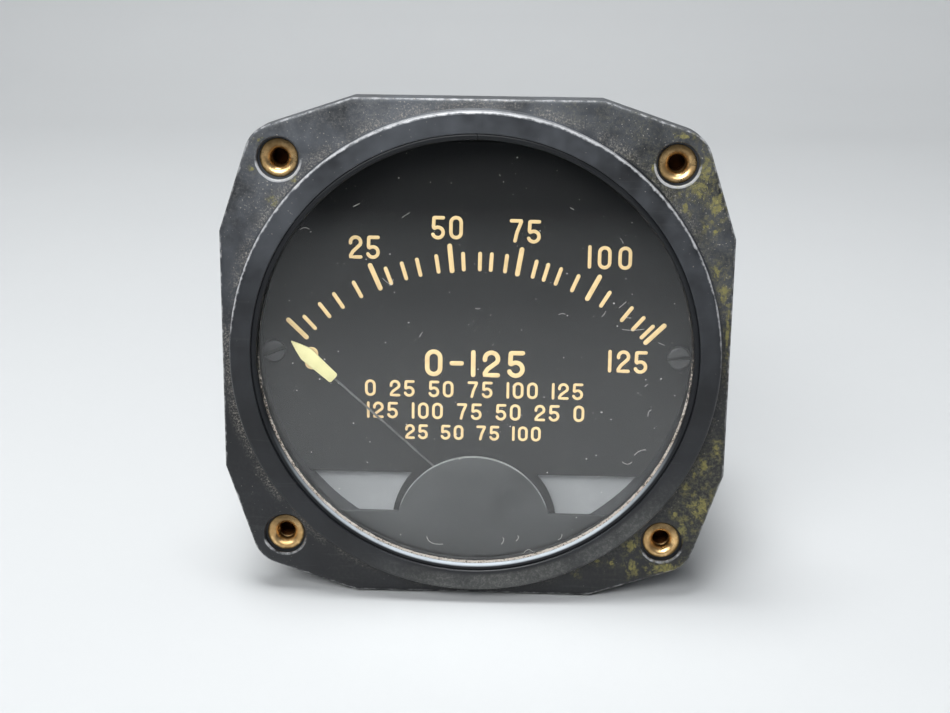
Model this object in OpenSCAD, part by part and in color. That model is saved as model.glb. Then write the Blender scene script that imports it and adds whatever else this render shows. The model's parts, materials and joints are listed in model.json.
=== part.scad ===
// Panel-mounted aircraft fuel gauge of the 3 1/8 inch size, with a moving-coil movement.
// The dial faces -Y and +Z is up. The origin is on the dial axis, at the front face of the flange,
// which seats against the back of the instrument panel.

/* [Flange] */
// Width of the flange beyond the ring, on each side
flange_margin = 1.65; // [1.3:0.05:3]
// Thickness of the flange
flange_t = 6.35; // [5.5:0.05:8]
// Distance of each straight side's ends from the corners of the flange's square
flat_inset = 21.5; // [19:0.1:24]
// Radius of the rounded corner about each panel screw
corner_r = 5.5; // [4.8:0.1:6.5]
// Bevel along the flange's edges
edge_bevel = 0.4; // [0.2:0.05:0.8]
// Distance of the panel screws from the flange's sides
screw_inset = 9.715; // [9.4:0.005:10.2]

/* [Panel inserts] */
// Outer diameter of a threaded insert
insert_d = 6.2; // [5.4:0.1:6.6]
// Bore of a threaded insert
insert_bore_d = 2.7; // [2.2:0.1:3.2]
// Depth of an insert's face below the flange
insert_recess = 1.0; // [0.5:0.1:1.5]
// Diameter of the recess in front of an insert
recess_d = 7.2; // [6.8:0.1:8]
// Width of the flat rim at an insert's mouth
insert_rim = 0.45; // [0.3:0.05:0.6]
// Depth of the round hollow at an insert's mouth
insert_hollow = 1.3; // [0.8:0.1:1.6]
// Thickness of the end that closes an insert's bore
insert_end = 0.8; // [0.5:0.1:1.2]

/* [Bezel ring] */
// Outer diameter of the ring that fills the panel's cut-out
ring_d = 79.0; // [78:0.1:80]
// Height of the ring in front of the flange
ring_h = 3.0; // [2.8:0.1:4]
// Rounding of the ring's front outer edge
ring_round = 0.5; // [0.3:0.1:0.8]
// Fillet where the ring meets the flange
ring_fillet = 0.4; // [0.2:0.1:0.7]
// Rounding of the ring's front inner edge
inner_round = 0.2; // [0.1:0.05:0.4]
// Thickness of the ring around the glass
ring_wall = 3.45; // [3:0.05:4]

/* [Case] */
// Thickness of the wall of the round body behind the flange
wall_t = 3.0; // [2.6:0.1:3.6]
// Space between the resistor spools and the back wall
rear_clear = 3.0; // [2:0.5:12]
// Thickness of the case's back wall
back_wall = 3; // [2:0.1:4]
// Width of the step that the glass and its gasket sit on
glass_step = 0.45; // [0.35:0.05:0.6]
// Width of the step that the movement plate sits on
plate_step = 1.0; // [0.7:0.1:1.2]
// Fillet between the flange and the body
body_fillet = 1.5; // [0.5:0.1:2]
// Rounding of the body's back edge
back_round = 1.5; // [0.5:0.1:2.5]
// Radius of a lug inside the case that carries the movement
lug_r = 3.2; // [2.6:0.1:3.6]
// Distance of a lug's middle from the wall
lug_inset = 2.8; // [2.2:0.1:3]
// Length of a lug
lug_len = 9; // [7:0.5:12]

/* [Glass] */
// Depth of the glass below the front of the ring
glass_recess = 1.45; // [1.35:0.05:1.8]
// Thickness of the glass
glass_t = 2.0; // [1.5:0.1:2.5]
// Thickness of the gasket behind the glass
gasket_t = 0.75; // [0.5:0.05:1]
// Width of the gasket
gasket_w = 0.9; // [0.7:0.1:1.2]
// Wire diameter of the snap ring in front of the glass
snap_wire_d = 1.2; // [1:0.1:1.3]
// Depth of the snap ring's groove
snap_groove = 0.2; // [0.1:0.05:0.3]
// Opening between the snap ring's ends, in degrees
snap_opening = 0.6; // [0.4:0.1:4]

/* [Dial] */
// Space between the gasket's seat and the front of the mask
mask_gap = 0.5; // [0.3:0.1:0.8]
// Thickness of the mask over the pivot
mask_t = 0.7; // [0.5:0.1:0.9]
// Distance of the mask's straight edge below the pivot
mask_edge = 0.8; // [0:0.1:2]
// Radius of the round part of the mask
mask_round_r = 12.95; // [12.4:0.05:13.2]
// Distance of the centre of the mask's round part below the pivot
mask_round_shift = 4.05; // [3.6:0.05:4.6]
// Radius of the round part at the dial's lower edge
bump_r = 14.0; // [13.2:0.1:14.5]
// Distance of the centre of the dial's round part below the pivot
bump_shift = 4.8; // [4:0.1:5.2]
// Space between the mask and the dial
mask_standoff = 4.1; // [4:0.1:5]
// Distance of a mask post from the middle
mask_post_x = 13; // [12.5:0.1:13.4]
// Diameter of a mask post
mask_post_d = 2.4; // [1.8:0.1:2.6]
// Thickness of the dial
dial_t = 0.7; // [0.5:0.1:1]
// Distance of the dial's straight lower edge above the pivot
dial_edge = 4.5; // [3.5:0.1:6]
// Space between the dial and the movement plate
dial_gap = 1.2; // [1.1:0.1:1.6]
// Distance of a dial screw from the dial's edge
dial_screw_inset = 2.0; // [1.9:0.1:3]
// Distance of the dial screws below the dial axis
dial_screw_drop = 1.1; // [0:0.1:2]
// Head diameter of a dial screw
dial_screw_d = 3.8; // [3:0.1:4]
// Head height of a dial screw
dial_screw_h = 0.9; // [0.7:0.1:1.2]

/* [Pointer] */
// Distance of the pointer's pivot from the wall below it
pivot_inset = 8.1; // [7.8:0.1:8.6]
// Angle of the pointer at rest, from straight up
pointer_rest = -48; // [-48:1:0]
// Distance of the pointer's tip from the pivot
tip_reach = 41.0; // [38:0.1:42]
// Length of the pointer's tapering tip
tip_len = 3.2; // [2.5:0.1:4]
// Width of the pointer's head
head_w = 2.4; // [1.8:0.1:3]
// Width of the pointer's head at its inner end
head_end_w = 1.9; // [1.4:0.1:2.2]
// Length of the pointer's head
head_len = 9.5; // [8:0.1:11]
// Thickness of the pointer's head
head_t = 0.3; // [0.2:0.05:0.4]
// Diameter of the pointer's wire
wire_d = 0.36; // [0.3:0.02:0.5]
// Diameter of the pointer's hub
hub_d = 3.2; // [2.6:0.1:3.6]
// Length of the pointer's hub
hub_len = 1.1; // [1:0.1:1.2]
// Reach of the tail arm from the pivot
tail_reach = 7.0; // [6.6:0.1:7.2]
// Reach of a side arm from the pivot
side_reach = 5.0; // [4.4:0.1:5.2]
// Diameter of a pin that stops the tail arm
stop_d = 0.8; // [0.6:0.1:1]
// Diameter of a balance weight
weight_d = 1.5; // [1.2:0.1:1.6]
// Length of a balance weight
weight_len = 1.4; // [1:0.1:1.6]

/* [Movement plate] */
// Thickness of the movement plate
plate_t = 1.6; // [1.2:0.1:2]
// Head diameter of a small movement screw
small_head_d = 3.2; // [2.8:0.1:3.4]
// Head height of a small movement screw
small_head_h = 0.9; // [0.7:0.1:1]
// Thread diameter of a small movement screw
small_screw_d = 1.6; // [1.4:0.1:1.8]

/* [Magnet and coils] */
// Outer radius of the moving coils
coil_r = 6.9; // [6.6:0.1:7]
// Thickness of a coil's winding
coil_t = 0.8; // [0.6:0.1:0.9]
// Width of a coil's winding
coil_w = 1.6; // [1.2:0.1:1.8]
// Length of the outer coil along the staff
coil_len = 12; // [11:0.1:13]
// Angle between the two coils
coil_cross = 30; // [26:1:32]
// Distance from the movement plate to the outer coil
coil_offset = 3.0; // [2.8:0.1:3.4]
// Gap between a coil and the pole shoes
air_gap = 0.8; // [0.6:0.05:0.9]
// Gap between a coil and the iron core
core_gap = 0.8; // [0.5:0.05:1]
// Length of the iron core
core_len = 7.6; // [6:0.1:8]
// Thickness of a pole shoe behind its bore
pole_wall = 2.8; // [2.5:0.1:3.3]
// Height of a pole shoe above and below the pivot
pole_half = 5.8; // [5:0.1:6]
// Distance of a pole shoe's tips from the middle
pole_tip = 4.2; // [3.8:0.1:4.6]
// Depth of a pole shoe behind the movement plate
pole_len = 14; // [13:0.1:15]
// Width of a magnet arm
magnet_w = 5.5; // [4.5:0.1:6]
// Depth of the magnet, along Y
magnet_t = 9; // [7:0.1:10]
// Distance of the magnet's ends below the pivot
magnet_foot = 2.5; // [1.5:0.1:2.9]
// Height of the magnet's arch centre above the dial axis
arch_rise = 2; // [0:0.1:4]
// Distance from the movement plate to the magnet
magnet_offset = 2.5; // [2:0.1:3]
// Distance of the magnet's post below the dial axis
magnet_post_drop = 6; // [4:0.1:8]
// Diameter of the magnet's post
magnet_post_d = 5; // [4:0.1:6]
// Thickness of the magnet's clamp
clamp_t = 1.5; // [1:0.1:2]
// Height of the magnet's clamp
clamp_h = 6; // [5:0.1:7]
// Height of the bar that carries the iron core
bracket_h = 2.4; // [2:0.1:3]
// Diameter of the stem between that bar and the core
stem_d = 2.4; // [2:0.1:2.6]

/* [Bearings] */
// Diameter of the staff
staff_d = 1.5; // [1.2:0.1:1.6]
// Diameter of a pivot at the staff's end
pivot_d = 0.6; // [0.5:0.05:0.7]
// Clearance of a pivot in its jewel, on the radius
jewel_gap = 0.05; // [0.03:0.01:0.08]
// Diameter of a jewel screw
jewel_d = 2.0; // [1.8:0.1:2.4]
// Thickness of a bridge
bridge_t = 0.8; // [0.7:0.1:0.9]
// Height of a bridge
bridge_h = 7; // [6.6:0.1:7.4]
// Space between the mask and the front bridge
bridge_gap = 0.5; // [0.45:0.05:0.6]
// Head height of a front bridge screw
bridge_head_h = 0.4; // [0.3:0.05:0.4]
// Distance of a bridge post from the pivot
bridge_post_x = 8.5; // [8.3:0.1:8.7]
// Diameter of a bridge post
bridge_post_d = 2.6; // [2:0.1:2.8]
// Turns of a ligament spring
spring_turns = 3.5; // [2.5:0.5:4]
// Height of a ligament spring's strip
spring_h = 0.5; // [0.4:0.05:0.6]
// Thickness of a ligament spring's strip
spring_t = 0.12; // [0.1:0.01:0.16]
// Outer radius of a ligament spring
spring_r = 4.0; // [3.6:0.1:4.2]

/* [Terminal board] */
// Distance of the terminal board's ends from the wall
board_inset = 10.6; // [10:0.1:12]
// Height of the terminal board
board_h = 18; // [16:0.5:18]
// Thickness of the terminal board
board_t = 1.6; // [1.2:0.1:2]
// Distance from the movement plate to the terminal board
board_offset = 23; // [22:0.5:24]
// Height of the board's lower edge above the dial axis
board_rise = 4.5; // [4:0.1:5]
// Diameter of a board post
board_post_d = 4; // [3:0.1:4.4]
// Distance of a board post from the board's end
board_post_inset = 3; // [2.4:0.1:4]
// Flange diameter of a resistor spool
spool_d = 12; // [10:0.1:12.5]
// Length of a resistor spool
spool_len = 8.5; // [7:0.1:9]
// Distance of a spool from the middle
spool_x = 10; // [9:0.1:11]
// Spacing of the solder lugs
lug_pitch = 8; // [6:0.1:9]
// Width of a solder lug
lug_w = 3; // [2.4:0.1:3.4]
// Height of a solder lug
lug_h = 5.5; // [5:0.1:6]
// Diameter of a lead
lead_d = 1.2; // [1:0.1:1.4]

/* [Connector] */
// Side of the connector's square flange
conn_flange_w = 25.4; // [24:0.1:28]
// Thickness of the connector's flange
conn_flange_t = 2.5; // [2:0.1:3]
// Spacing of the connector's screws
conn_spacing = 18.26; // [17.5:0.01:19]
// Outer diameter of the connector's shell
shell_d = 15.9; // [15:0.1:16.5]
// Bore of the connector's shell
shell_bore_d = 13.0; // [12:0.1:13.5]
// Length of the shell behind its flange
shell_len = 11.2; // [11:0.1:14]
// Thickness of the gasket under the connector
conn_gasket_t = 0.8; // [0.5:0.1:1.2]
// Length of the insulator behind the flange's outer face
insulator_rise = 0.7; // [0.3:0.1:0.8]
// Length of the insulator inside the case
insulator_depth = 7; // [6:0.1:8]
// Diameter of a contact pin
pin_d = 1.6; // [1.3:0.1:1.8]
// Length of a contact pin in the socket
pin_len = 5.6; // [5:0.1:5.8]
// Radius of the circle that the pins stand on
pin_circle_r = 3.4; // [3:0.1:3.8]
// Head diameter of a connector screw
conn_screw_d = 4.6; // [4:0.1:5]
// Head height of a connector screw
conn_screw_h = 1.4; // [1:0.1:1.8]

/* [Hidden] */
$fn = 64;
fit = 0.1;
arc_steps = 5;
over = 1;

// Radii of the case and half widths of the flange
ring_r = ring_d / 2;
pocket_r = ring_r - ring_wall;
dial_bore_r = pocket_r - glass_step;
rear_bore_r = dial_bore_r - plate_step;
body_r = rear_bore_r + wall_t;
flange_half = ring_r + flange_margin;
flat_half = flange_half - flat_inset;
screw_half = flange_half - screw_inset;
disc_r = dial_bore_r - fit;

// Distances below the dial axis
pivot_drop = rear_bore_r - pivot_inset;
mask_drop = pivot_drop + mask_edge;
mask_round_drop = pivot_drop + mask_round_shift;
bump_drop = pivot_drop + bump_shift;
dial_drop = pivot_drop - dial_edge;
magnet_drop = pivot_drop + magnet_foot;

// Depths of the faces, from the glass to the movement plate
glass_y = glass_recess - ring_h;
gasket_y = glass_y + glass_t;
pocket_y = gasket_y + gasket_t;
mask_y = pocket_y + mask_gap;
mask_back = mask_y + mask_t;
dial_y = mask_back + mask_standoff;
dial_back = dial_y + dial_t;
plate_y = dial_back + dial_gap;
plate_back = plate_y + plate_t;

// Snap ring
snap_wire_r = snap_wire_d / 2;
snap_r = pocket_r + snap_groove - snap_wire_r;
snap_y = glass_y - snap_wire_r;

// Pointer and bearings, from the front bridge to the rear bridge
jewel_front = 0.25;
jewel_reach = 0.5;
jewel_depth = 0.9;
pivot_len = 0.8;
hub_gap = 0.25;
staff_base_t = 0.5;
staff_base_r = 2.2;
rear_staff_len = 2.6;
rear_jewel_gap = 0.15;
bridge_y = mask_back + bridge_gap;
bridge_back = bridge_y + bridge_t;
front_jewel_y = bridge_y - jewel_front;
front_jewel_back = bridge_back + jewel_reach;
hub_y = front_jewel_back + hub_gap;
hub_back = hub_y + hub_len;
pointer_y = hub_y + hub_len / 2;
wire_r = wire_d / 2;
coil_y = plate_back + coil_offset;
coil_back = coil_y + coil_len;
rear_pivot_y = coil_back + rear_staff_len;
rear_jewel_y = rear_pivot_y + rear_jewel_gap;
rear_bridge_y = rear_pivot_y + pivot_len;
rear_bridge_back = rear_bridge_y + bridge_t;
rear_jewel_back = rear_bridge_back + pivot_len;

// Ligament springs
spring_clear = 0.4;
spring_lift = 0.8;
spring_start = staff_d / 2 + spring_clear;
spring_pitch = (spring_r - spring_start) / spring_turns;
spring_space = 0.3;
spring_steps = 20;
front_spring_y = plate_back + spring_lift;
next_spring_y = front_spring_y + spring_h + spring_space;
rear_spring_y = coil_back + staff_base_t + spring_clear;
spring_post_r = 0.3;

// Pointer stops, where the tail arm lies just clear of them at either end of its swing
stop_clear = 0.1;
stop_inset = 0.6;
stop_place = tail_reach - stop_inset;
stop_angle = 180 + pointer_rest - asin((stop_d / 2 + wire_r + stop_clear) / stop_place);

// Magnet system
pole_bore_r = coil_r + air_gap;
pole_reach = pole_bore_r + pole_wall;
core_r = coil_r - coil_t - core_gap;
core_y = coil_y + (coil_len - core_len) / 2;
bracket_inset = 1;
bracket_y = core_y + bracket_inset;
bracket_len = core_len - 2 * bracket_inset;
pole_back = plate_back + pole_len;
magnet_y = plate_back + magnet_offset;
magnet_back = magnet_y + magnet_t;
magnet_half = pole_reach + magnet_w;
thread_depth = 5;

// Terminal board and connector
board_y = plate_back + board_offset;
board_back = board_y + board_t;
board_w = 2 * (rear_bore_r - board_inset);
board_post_x = board_w / 2 - board_post_inset;
back_inner = board_back + spool_len + small_head_h + rear_clear;
case_len = back_inner + back_wall;
conn_gasket_back = case_len + conn_gasket_t;
conn_flange_back = conn_gasket_back + conn_flange_t;
shell_back = conn_flange_back + shell_len;
insulator_y = case_len - insulator_depth;
insulator_back = conn_flange_back + insulator_rise;
insulator_r = (shell_bore_d - fit) / 2;
conn_half = conn_spacing / 2;
cup_len = 3;
cup_y = insulator_y - cup_len;
spool_core_r = 2.5;
cheek_t = 1;
solder_t = 0.5;

// Screws, with each head as [radius, height]
screw_r = small_screw_d / 2;
small_head = [small_head_d / 2, small_head_h];
narrow_head = [small_head_d / 2 - fit, small_head_h];
dial_head = [dial_screw_d / 2, dial_screw_h];
bridge_head = [bridge_post_d / 2, bridge_head_h];
conn_head = [conn_screw_d / 2, conn_screw_h];

// Places of the repeated pieces, as [x, z]
corners = [for (x = [-1, 1], z = [-1, 1]) [x, z]];
sides = [-1, 1];
lug_angles = [90, 200, 340];
lug_spots = [for (a = lug_angles) (rear_bore_r - lug_inset) * [cos(a), sin(a)]];
mask_post_spots = [for (s = sides) [s * mask_post_x, -bump_drop]];
dial_screw_x = disc_r - dial_screw_inset;
dial_screw_spots = [for (s = sides) [s * dial_screw_x, -dial_screw_drop]];
dial_slot_angles = [-22, -7];
conn_slot_angle = 30;
bridge_post_shift = 0.5;
bridge_post_spots = [for (s = sides) [s * bridge_post_x, -pivot_drop - bridge_post_shift]];
pole_inset = small_screw_d;
pole_screw_x = pole_reach - pole_inset;
pole_screw_z = pole_half - pole_inset;
pole_screw_spots = [for (s = sides, t = sides) [s * pole_screw_x, t * pole_screw_z - pivot_drop]];
rear_post_spots = [for (s = sides) [s * (pole_reach - pole_wall / 2), -pivot_drop]];
magnet_post_spot = [0, -magnet_post_drop];
board_spots = [for (s = sides) [s * board_post_x, board_rise + board_h / 2]];
board_margin = 2;
spool_spots = [for (s = sides) [s * spool_x, board_rise + board_h - spool_d / 2 - board_margin]];
solder_spots = [for (i = [-1, 0, 1]) [i * lug_pitch, board_rise + board_margin]];
pin_spots = [for (a = [210, 90, 330]) pin_circle_r * [cos(a), sin(a)]];

// Points of an arc about [cx, cy], from angle a0 to angle a1
function arc(cx, cy, r, a0, a1) = [
    for (i = [0 : arc_steps]) let (a = a0 + (a1 - a0) * i / arc_steps) [cx + r * cos(a), cy + r * sin(a)]
];

// A point turned about the origin
function turn(p, a) = [p[0] * cos(a) - p[1] * sin(a), p[0] * sin(a) + p[1] * cos(a)];

// A sheet with an outline drawn in X and Z, from depth y0 to y0 + t
module sheet(y0, t) {
    translate([0, y0 + t, 0]) rotate([90, 0, 0]) linear_extrude(t) children();
}

// A round body turned about the dial axis, from a profile drawn as [radius, depth]
module turned(angle = 360) {
    rotate([-90, 0, 0]) rotate_extrude(angle = angle) children();
}

// A round rod along Y at a place [x, z], from depth y0 to y1
module rod(spot, y0, y1, r) {
    translate([spot[0], y0, spot[1]]) rotate([-90, 0, 0]) cylinder(r = r, h = y1 - y0);
}

// Moves what is drawn about the pivot to its place, turned clockwise by an angle
module about_pivot(angle = 0) {
    translate([0, 0, -pivot_drop]) rotate([0, angle, 0]) children();
}

// A slot across a screw's head, centred on the depth y0
module screw_slot(spot, y0, head, angle) {
    translate([spot[0], y0, spot[1]]) rotate([0, angle, 0])
        cube([3 * head[0], head[1], head[0] / 4], center = true);
}

// A screw with a slotted head, given as [radius, height], in front of depth y0 and a shank behind it
module front_screw(spot, y0, head, shank_len, slot_angle = 0) {
    difference() {
        union() {
            rod(spot, y0 - head[1], y0, head[0]);
            rod(spot, y0, y0 + shank_len, screw_r);
        }
        screw_slot(spot, y0 - head[1], head, slot_angle);
    }
}

// The same screw with its head at the back
module rear_screw(spot, y0, head, shank_len, slot_angle = 0) {
    difference() {
        union() {
            rod(spot, y0, y0 + head[1], head[0]);
            rod(spot, y0 - shank_len, y0, screw_r);
        }
        screw_slot(spot, y0 + head[1], head, slot_angle);
    }
}

// The straight sides and rounded corners of the flange, drawn in by an inset
module flange_outline(inset) {
    half = flange_half - inset;
    polygon([for (q = [0 : 3], s = sides) turn([half, s * flat_half], 90 * q)]);
    for (c = corners) translate(screw_half * c) circle(corner_r - inset);
}

// The flange, with its edges bevelled at the front and at the back
module flange_block() {
    hull() {
        sheet(edge_bevel, flange_t - 2 * edge_bevel) flange_outline(0);
        sheet(0, flange_t) flange_outline(edge_bevel);
    }
}

module case_outside() {
    turned() polygon(concat(
        [[0, -ring_h]],
        arc(ring_r - ring_round, ring_round - ring_h, ring_round, -90, 0),
        arc(ring_r + ring_fillet, -ring_fillet, ring_fillet, 180, 90),
        [[ring_r + ring_fillet, flange_t / 2], [body_r + body_fillet, flange_t / 2]],
        arc(body_r + body_fillet, flange_t + body_fillet, body_fillet, 270, 180),
        arc(body_r - back_round, case_len - back_round, back_round, 0, 90),
        [[0, case_len]]
    ));
}

module case_hollow() {
    turned() polygon(concat(
        [[0, -ring_h - over], [pocket_r + inner_round, -ring_h - over]],
        arc(pocket_r + inner_round, inner_round - ring_h, inner_round, 270, 180),
        [[pocket_r, pocket_y], [dial_bore_r, pocket_y], [dial_bore_r, plate_back], [rear_bore_r, plate_back]],
        [[rear_bore_r, back_inner], [0, back_inner]]
    ));
}

module case() {
    color([0.10, 0.10, 0.11]) difference() {
        union() {
            difference() {
                union() {
                    flange_block();
                    case_outside();
                }
                case_hollow();
                turned() translate([snap_r, snap_y]) circle(snap_wire_r + fit / 2);
            }
            intersection() {
                for (s = lug_spots) rod(s, plate_back, plate_back + lug_len, lug_r);
                rod([0, 0], plate_back, back_inner, rear_bore_r + over);
            }
        }
        for (c = corners) {
            rod(screw_half * c, -over, flange_t + over, insert_d / 2);
            rod(screw_half * c, -over, insert_recess, recess_d / 2);
        }
        for (s = lug_spots) rod(s, plate_back - over, plate_back + lug_len - over, screw_r);
        rod([0, 0], back_inner - over, case_len + over, shell_bore_d / 2 + fit);
        for (c = corners) rod(conn_half * c, back_inner - over, case_len + over, screw_r);
    }
}

module panel_inserts() {
    r = insert_d / 2;
    bore_r = insert_bore_d / 2;
    mouth_r = r - insert_rim;
    profile = concat(
        [[0, flange_t], [0, flange_t - insert_end], [bore_r, flange_t - insert_end]],
        [[bore_r, insert_recess + insert_hollow]],
        [for (i = [1 : arc_steps]) let (a = 90 * i / arc_steps)
            [mouth_r - (mouth_r - bore_r) * cos(a), insert_recess + insert_hollow * (1 - sin(a))]],
        [[r, insert_recess], [r, flange_t]]
    );
    color([0.71, 0.58, 0.30]) for (c = corners)
        translate(screw_half * [c[0], 0, c[1]]) turned() polygon(profile);
}

module snap_ring() {
    color([0.12, 0.12, 0.13]) rotate([0, -90 - snap_opening / 2, 0]) turned(360 - snap_opening)
        translate([snap_r, snap_y]) circle(snap_wire_r);
}

module cover_glass() {
    color([0.80, 0.85, 0.85, 0.3]) rod([0, 0], glass_y, gasket_y, pocket_r - fit);
}

module glass_gasket() {
    outer = pocket_r - fit;
    color([0.15, 0.15, 0.15]) sheet(gasket_y, gasket_t) difference() {
        circle(outer);
        circle(outer - gasket_w);
    }
}

// The half-round shape that the mask and the dial's tongue share
module bump() {
    translate([0, -bump_drop]) circle(bump_r);
}

module pivot_mask() {
    color([0.16, 0.16, 0.17]) sheet(mask_y, mask_t) intersection() {
        circle(disc_r);
        union() {
            translate([-disc_r, -disc_r]) square([2 * disc_r, disc_r - mask_drop]);
            translate([0, -mask_round_drop]) circle(mask_round_r);
        }
    }
}

module mask_posts() {
    color("silver") for (s = mask_post_spots) rod(s, mask_back, plate_y, mask_post_d / 2);
}

module dial_plate() {
    opening_w = 2 * bridge_post_x + bridge_post_d + 8 * fit;
    opening_h = 2 * bridge_post_d;
    color([0.09, 0.09, 0.10]) sheet(dial_y, dial_t) difference() {
        intersection() {
            circle(disc_r);
            union() {
                translate([-disc_r, -dial_drop]) square([2 * disc_r, disc_r + dial_drop]);
                bump();
            }
        }
        translate([-opening_w / 2, -pivot_drop - opening_h / 2]) square([opening_w, opening_h]);
        for (s = mask_post_spots) translate(s) circle(mask_post_d / 2 + 3 * fit);
        for (s = dial_screw_spots) translate(s) circle(screw_r);
    }
}

module dial_spacers() {
    color("silver") sheet(dial_back, dial_gap) for (s = dial_screw_spots) translate(s) difference() {
        circle(dial_screw_d / 2);
        circle(screw_r);
    }
}

module dial_screws() {
    grip = dial_t + dial_gap + plate_t;
    color([0.10, 0.10, 0.10]) for (i = [0, 1])
        front_screw(dial_screw_spots[i], dial_y, dial_head, grip, dial_slot_angles[i]);
}

module movement_plate() {
    color([0.62, 0.62, 0.63]) sheet(plate_y, plate_t) difference() {
        circle(disc_r);
        translate([0, -pivot_drop]) circle(staff_base_r);
        for (s = concat(lug_spots, dial_screw_spots, pole_screw_spots)) translate(s) circle(screw_r);
    }
}

module movement_screws() {
    color("silver") for (s = lug_spots)
        front_screw(s, plate_y, small_head, plate_t + lug_len - 2 * over);
}

module front_bridge() {
    half_w = bridge_post_x + bridge_post_d / 2 + 5 * fit;
    color([0.78, 0.66, 0.36]) sheet(bridge_y, bridge_t) difference() {
        translate([-half_w, jewel_d - pivot_drop - bridge_h]) square([2 * half_w, bridge_h]);
        translate([0, -pivot_drop]) circle(jewel_d / 2);
        for (s = bridge_post_spots) translate(s) circle(screw_r);
    }
}

module front_bridge_posts() {
    color("silver") difference() {
        for (s = bridge_post_spots) rod(s, bridge_back, plate_y, bridge_post_d / 2);
        for (s = bridge_post_spots) rod(s, bridge_back - over, bridge_back + bridge_post_d, screw_r);
    }
}

module front_bridge_screws() {
    color("silver") for (s = bridge_post_spots)
        front_screw(s, bridge_y, bridge_head, bridge_t + small_screw_d);
}

module front_jewel_screw() {
    color([0.75, 0.62, 0.32]) about_pivot() difference() {
        rod([0, 0], front_jewel_y, front_jewel_back, jewel_d / 2);
        rod([0, 0], front_jewel_back - jewel_depth, front_jewel_back + over, pivot_d / 2 + jewel_gap);
    }
}

// Two pins that the tail arm meets at the ends of the pointer's swing
module pointer_stops() {
    color("silver") about_pivot() for (s = sides) rotate([0, s * stop_angle, 0])
        rod([0, stop_place], bridge_back, hub_back, stop_d / 2);
}

module pointer_head() {
    shoulder = tip_reach - tip_len;
    inner = tip_reach - head_len;
    color([0.94, 0.91, 0.72]) about_pivot(pointer_rest) sheet(pointer_y - wire_r - head_t, head_t) polygon([
        [0, tip_reach],
        [head_w / 2, shoulder],
        [head_end_w / 2, inner],
        [-head_end_w / 2, inner],
        [-head_w / 2, shoulder]
    ]);
}

// A round rod in the pointer's plane, from r0 to r1 away from the pivot
module radial_rod(angle, r0, r1, r) {
    rotate([0, angle, 0]) translate([0, pointer_y, r0]) cylinder(r = r, h = r1 - r0);
}

module pointer_wire() {
    color([0.72, 0.72, 0.70]) about_pivot(pointer_rest) difference() {
        radial_rod(0, staff_d / 2, tip_reach - tip_len - head_w, wire_r);
        rod([0, 0], hub_y, hub_back, hub_d / 2);
    }
}

module pointer_hub() {
    color([0.75, 0.62, 0.32]) about_pivot() difference() {
        rod([0, 0], hub_y, hub_back, hub_d / 2);
        rod([0, 0], hub_y - over, hub_back + over, staff_d / 2);
    }
}

module balance_arms() {
    color([0.72, 0.72, 0.70]) about_pivot(pointer_rest) difference() {
        union() {
            radial_rod(180, staff_d / 2, tail_reach, wire_r);
            for (s = sides) radial_rod(s * 90, staff_d / 2, side_reach, wire_r);
        }
        rod([0, 0], hub_y, hub_back, hub_d / 2);
    }
}

module balance_weights() {
    outer = side_reach - wire_d;
    color([0.75, 0.62, 0.32]) about_pivot(pointer_rest) difference() {
        for (a = [-90, 90, 180]) radial_rod(a, outer - weight_len, outer, weight_d / 2);
        for (a = [-90, 90, 180]) radial_rod(a, 0, tail_reach, wire_r);
    }
}

module front_staff() {
    color("silver") about_pivot() {
        rod([0, 0], front_jewel_back - pivot_len, hub_y, pivot_d / 2);
        rod([0, 0], hub_y, coil_y - staff_base_t, staff_d / 2);
        rod([0, 0], coil_y - staff_base_t, coil_y, staff_base_r);
    }
}

module rear_staff() {
    color("silver") about_pivot() {
        rod([0, 0], coil_back, coil_back + staff_base_t, staff_base_r);
        rod([0, 0], coil_back + staff_base_t, rear_pivot_y, staff_d / 2);
        rod([0, 0], rear_pivot_y, rear_jewel_y + pivot_len, pivot_d / 2);
    }
}

// A coil wound as a rectangle about the pivot's axis
module coil(y0, y1) {
    inner_half = coil_r - coil_t;
    difference() {
        translate([-coil_r, y0, -coil_w / 2]) cube([2 * coil_r, y1 - y0, coil_w]);
        translate([-inner_half, y0 + coil_t, -coil_w])
            cube([2 * inner_half, y1 - y0 - 2 * coil_t, 2 * coil_w]);
    }
}

module outer_coil() {
    color([0.68, 0.36, 0.20]) about_pivot(pointer_rest - coil_cross / 2) coil(coil_y, coil_back);
}

module inner_coil() {
    color([0.60, 0.30, 0.17]) about_pivot(pointer_rest + coil_cross / 2)
        coil(coil_y + coil_t, coil_back - coil_t);
}

// Points of a spiral about the pivot, shifted outwards or inwards
function spiral(shift) = [
    for (i = [0 : spring_steps * spring_turns])
        let (r = spring_start + i * spring_pitch / spring_steps + shift, a = 360 * i / spring_steps)
        r * [cos(a), sin(a)]
];

// A flat spiral spring, with the post that holds its outer end
module ligament(y0, post_y0, post_y1) {
    outer = spiral(spring_t / 2);
    inner = spiral(-spring_t / 2);
    last = len(outer) - 1;
    post = outer[last] * (1 + spring_post_r / 2 / norm(outer[last]));
    sheet(y0, spring_h) polygon(concat(outer, [for (i = [0 : last]) inner[last - i]]));
    rod(post, post_y0, post_y1, spring_post_r);
}

module ligament_springs() {
    color([0.80, 0.68, 0.40]) about_pivot() {
        ligament(front_spring_y, plate_back, front_spring_y + spring_h);
        mirror([1, 0, 0]) ligament(next_spring_y, plate_back, next_spring_y + spring_h);
        ligament(rear_spring_y, rear_spring_y, rear_bridge_y);
    }
}

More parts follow.
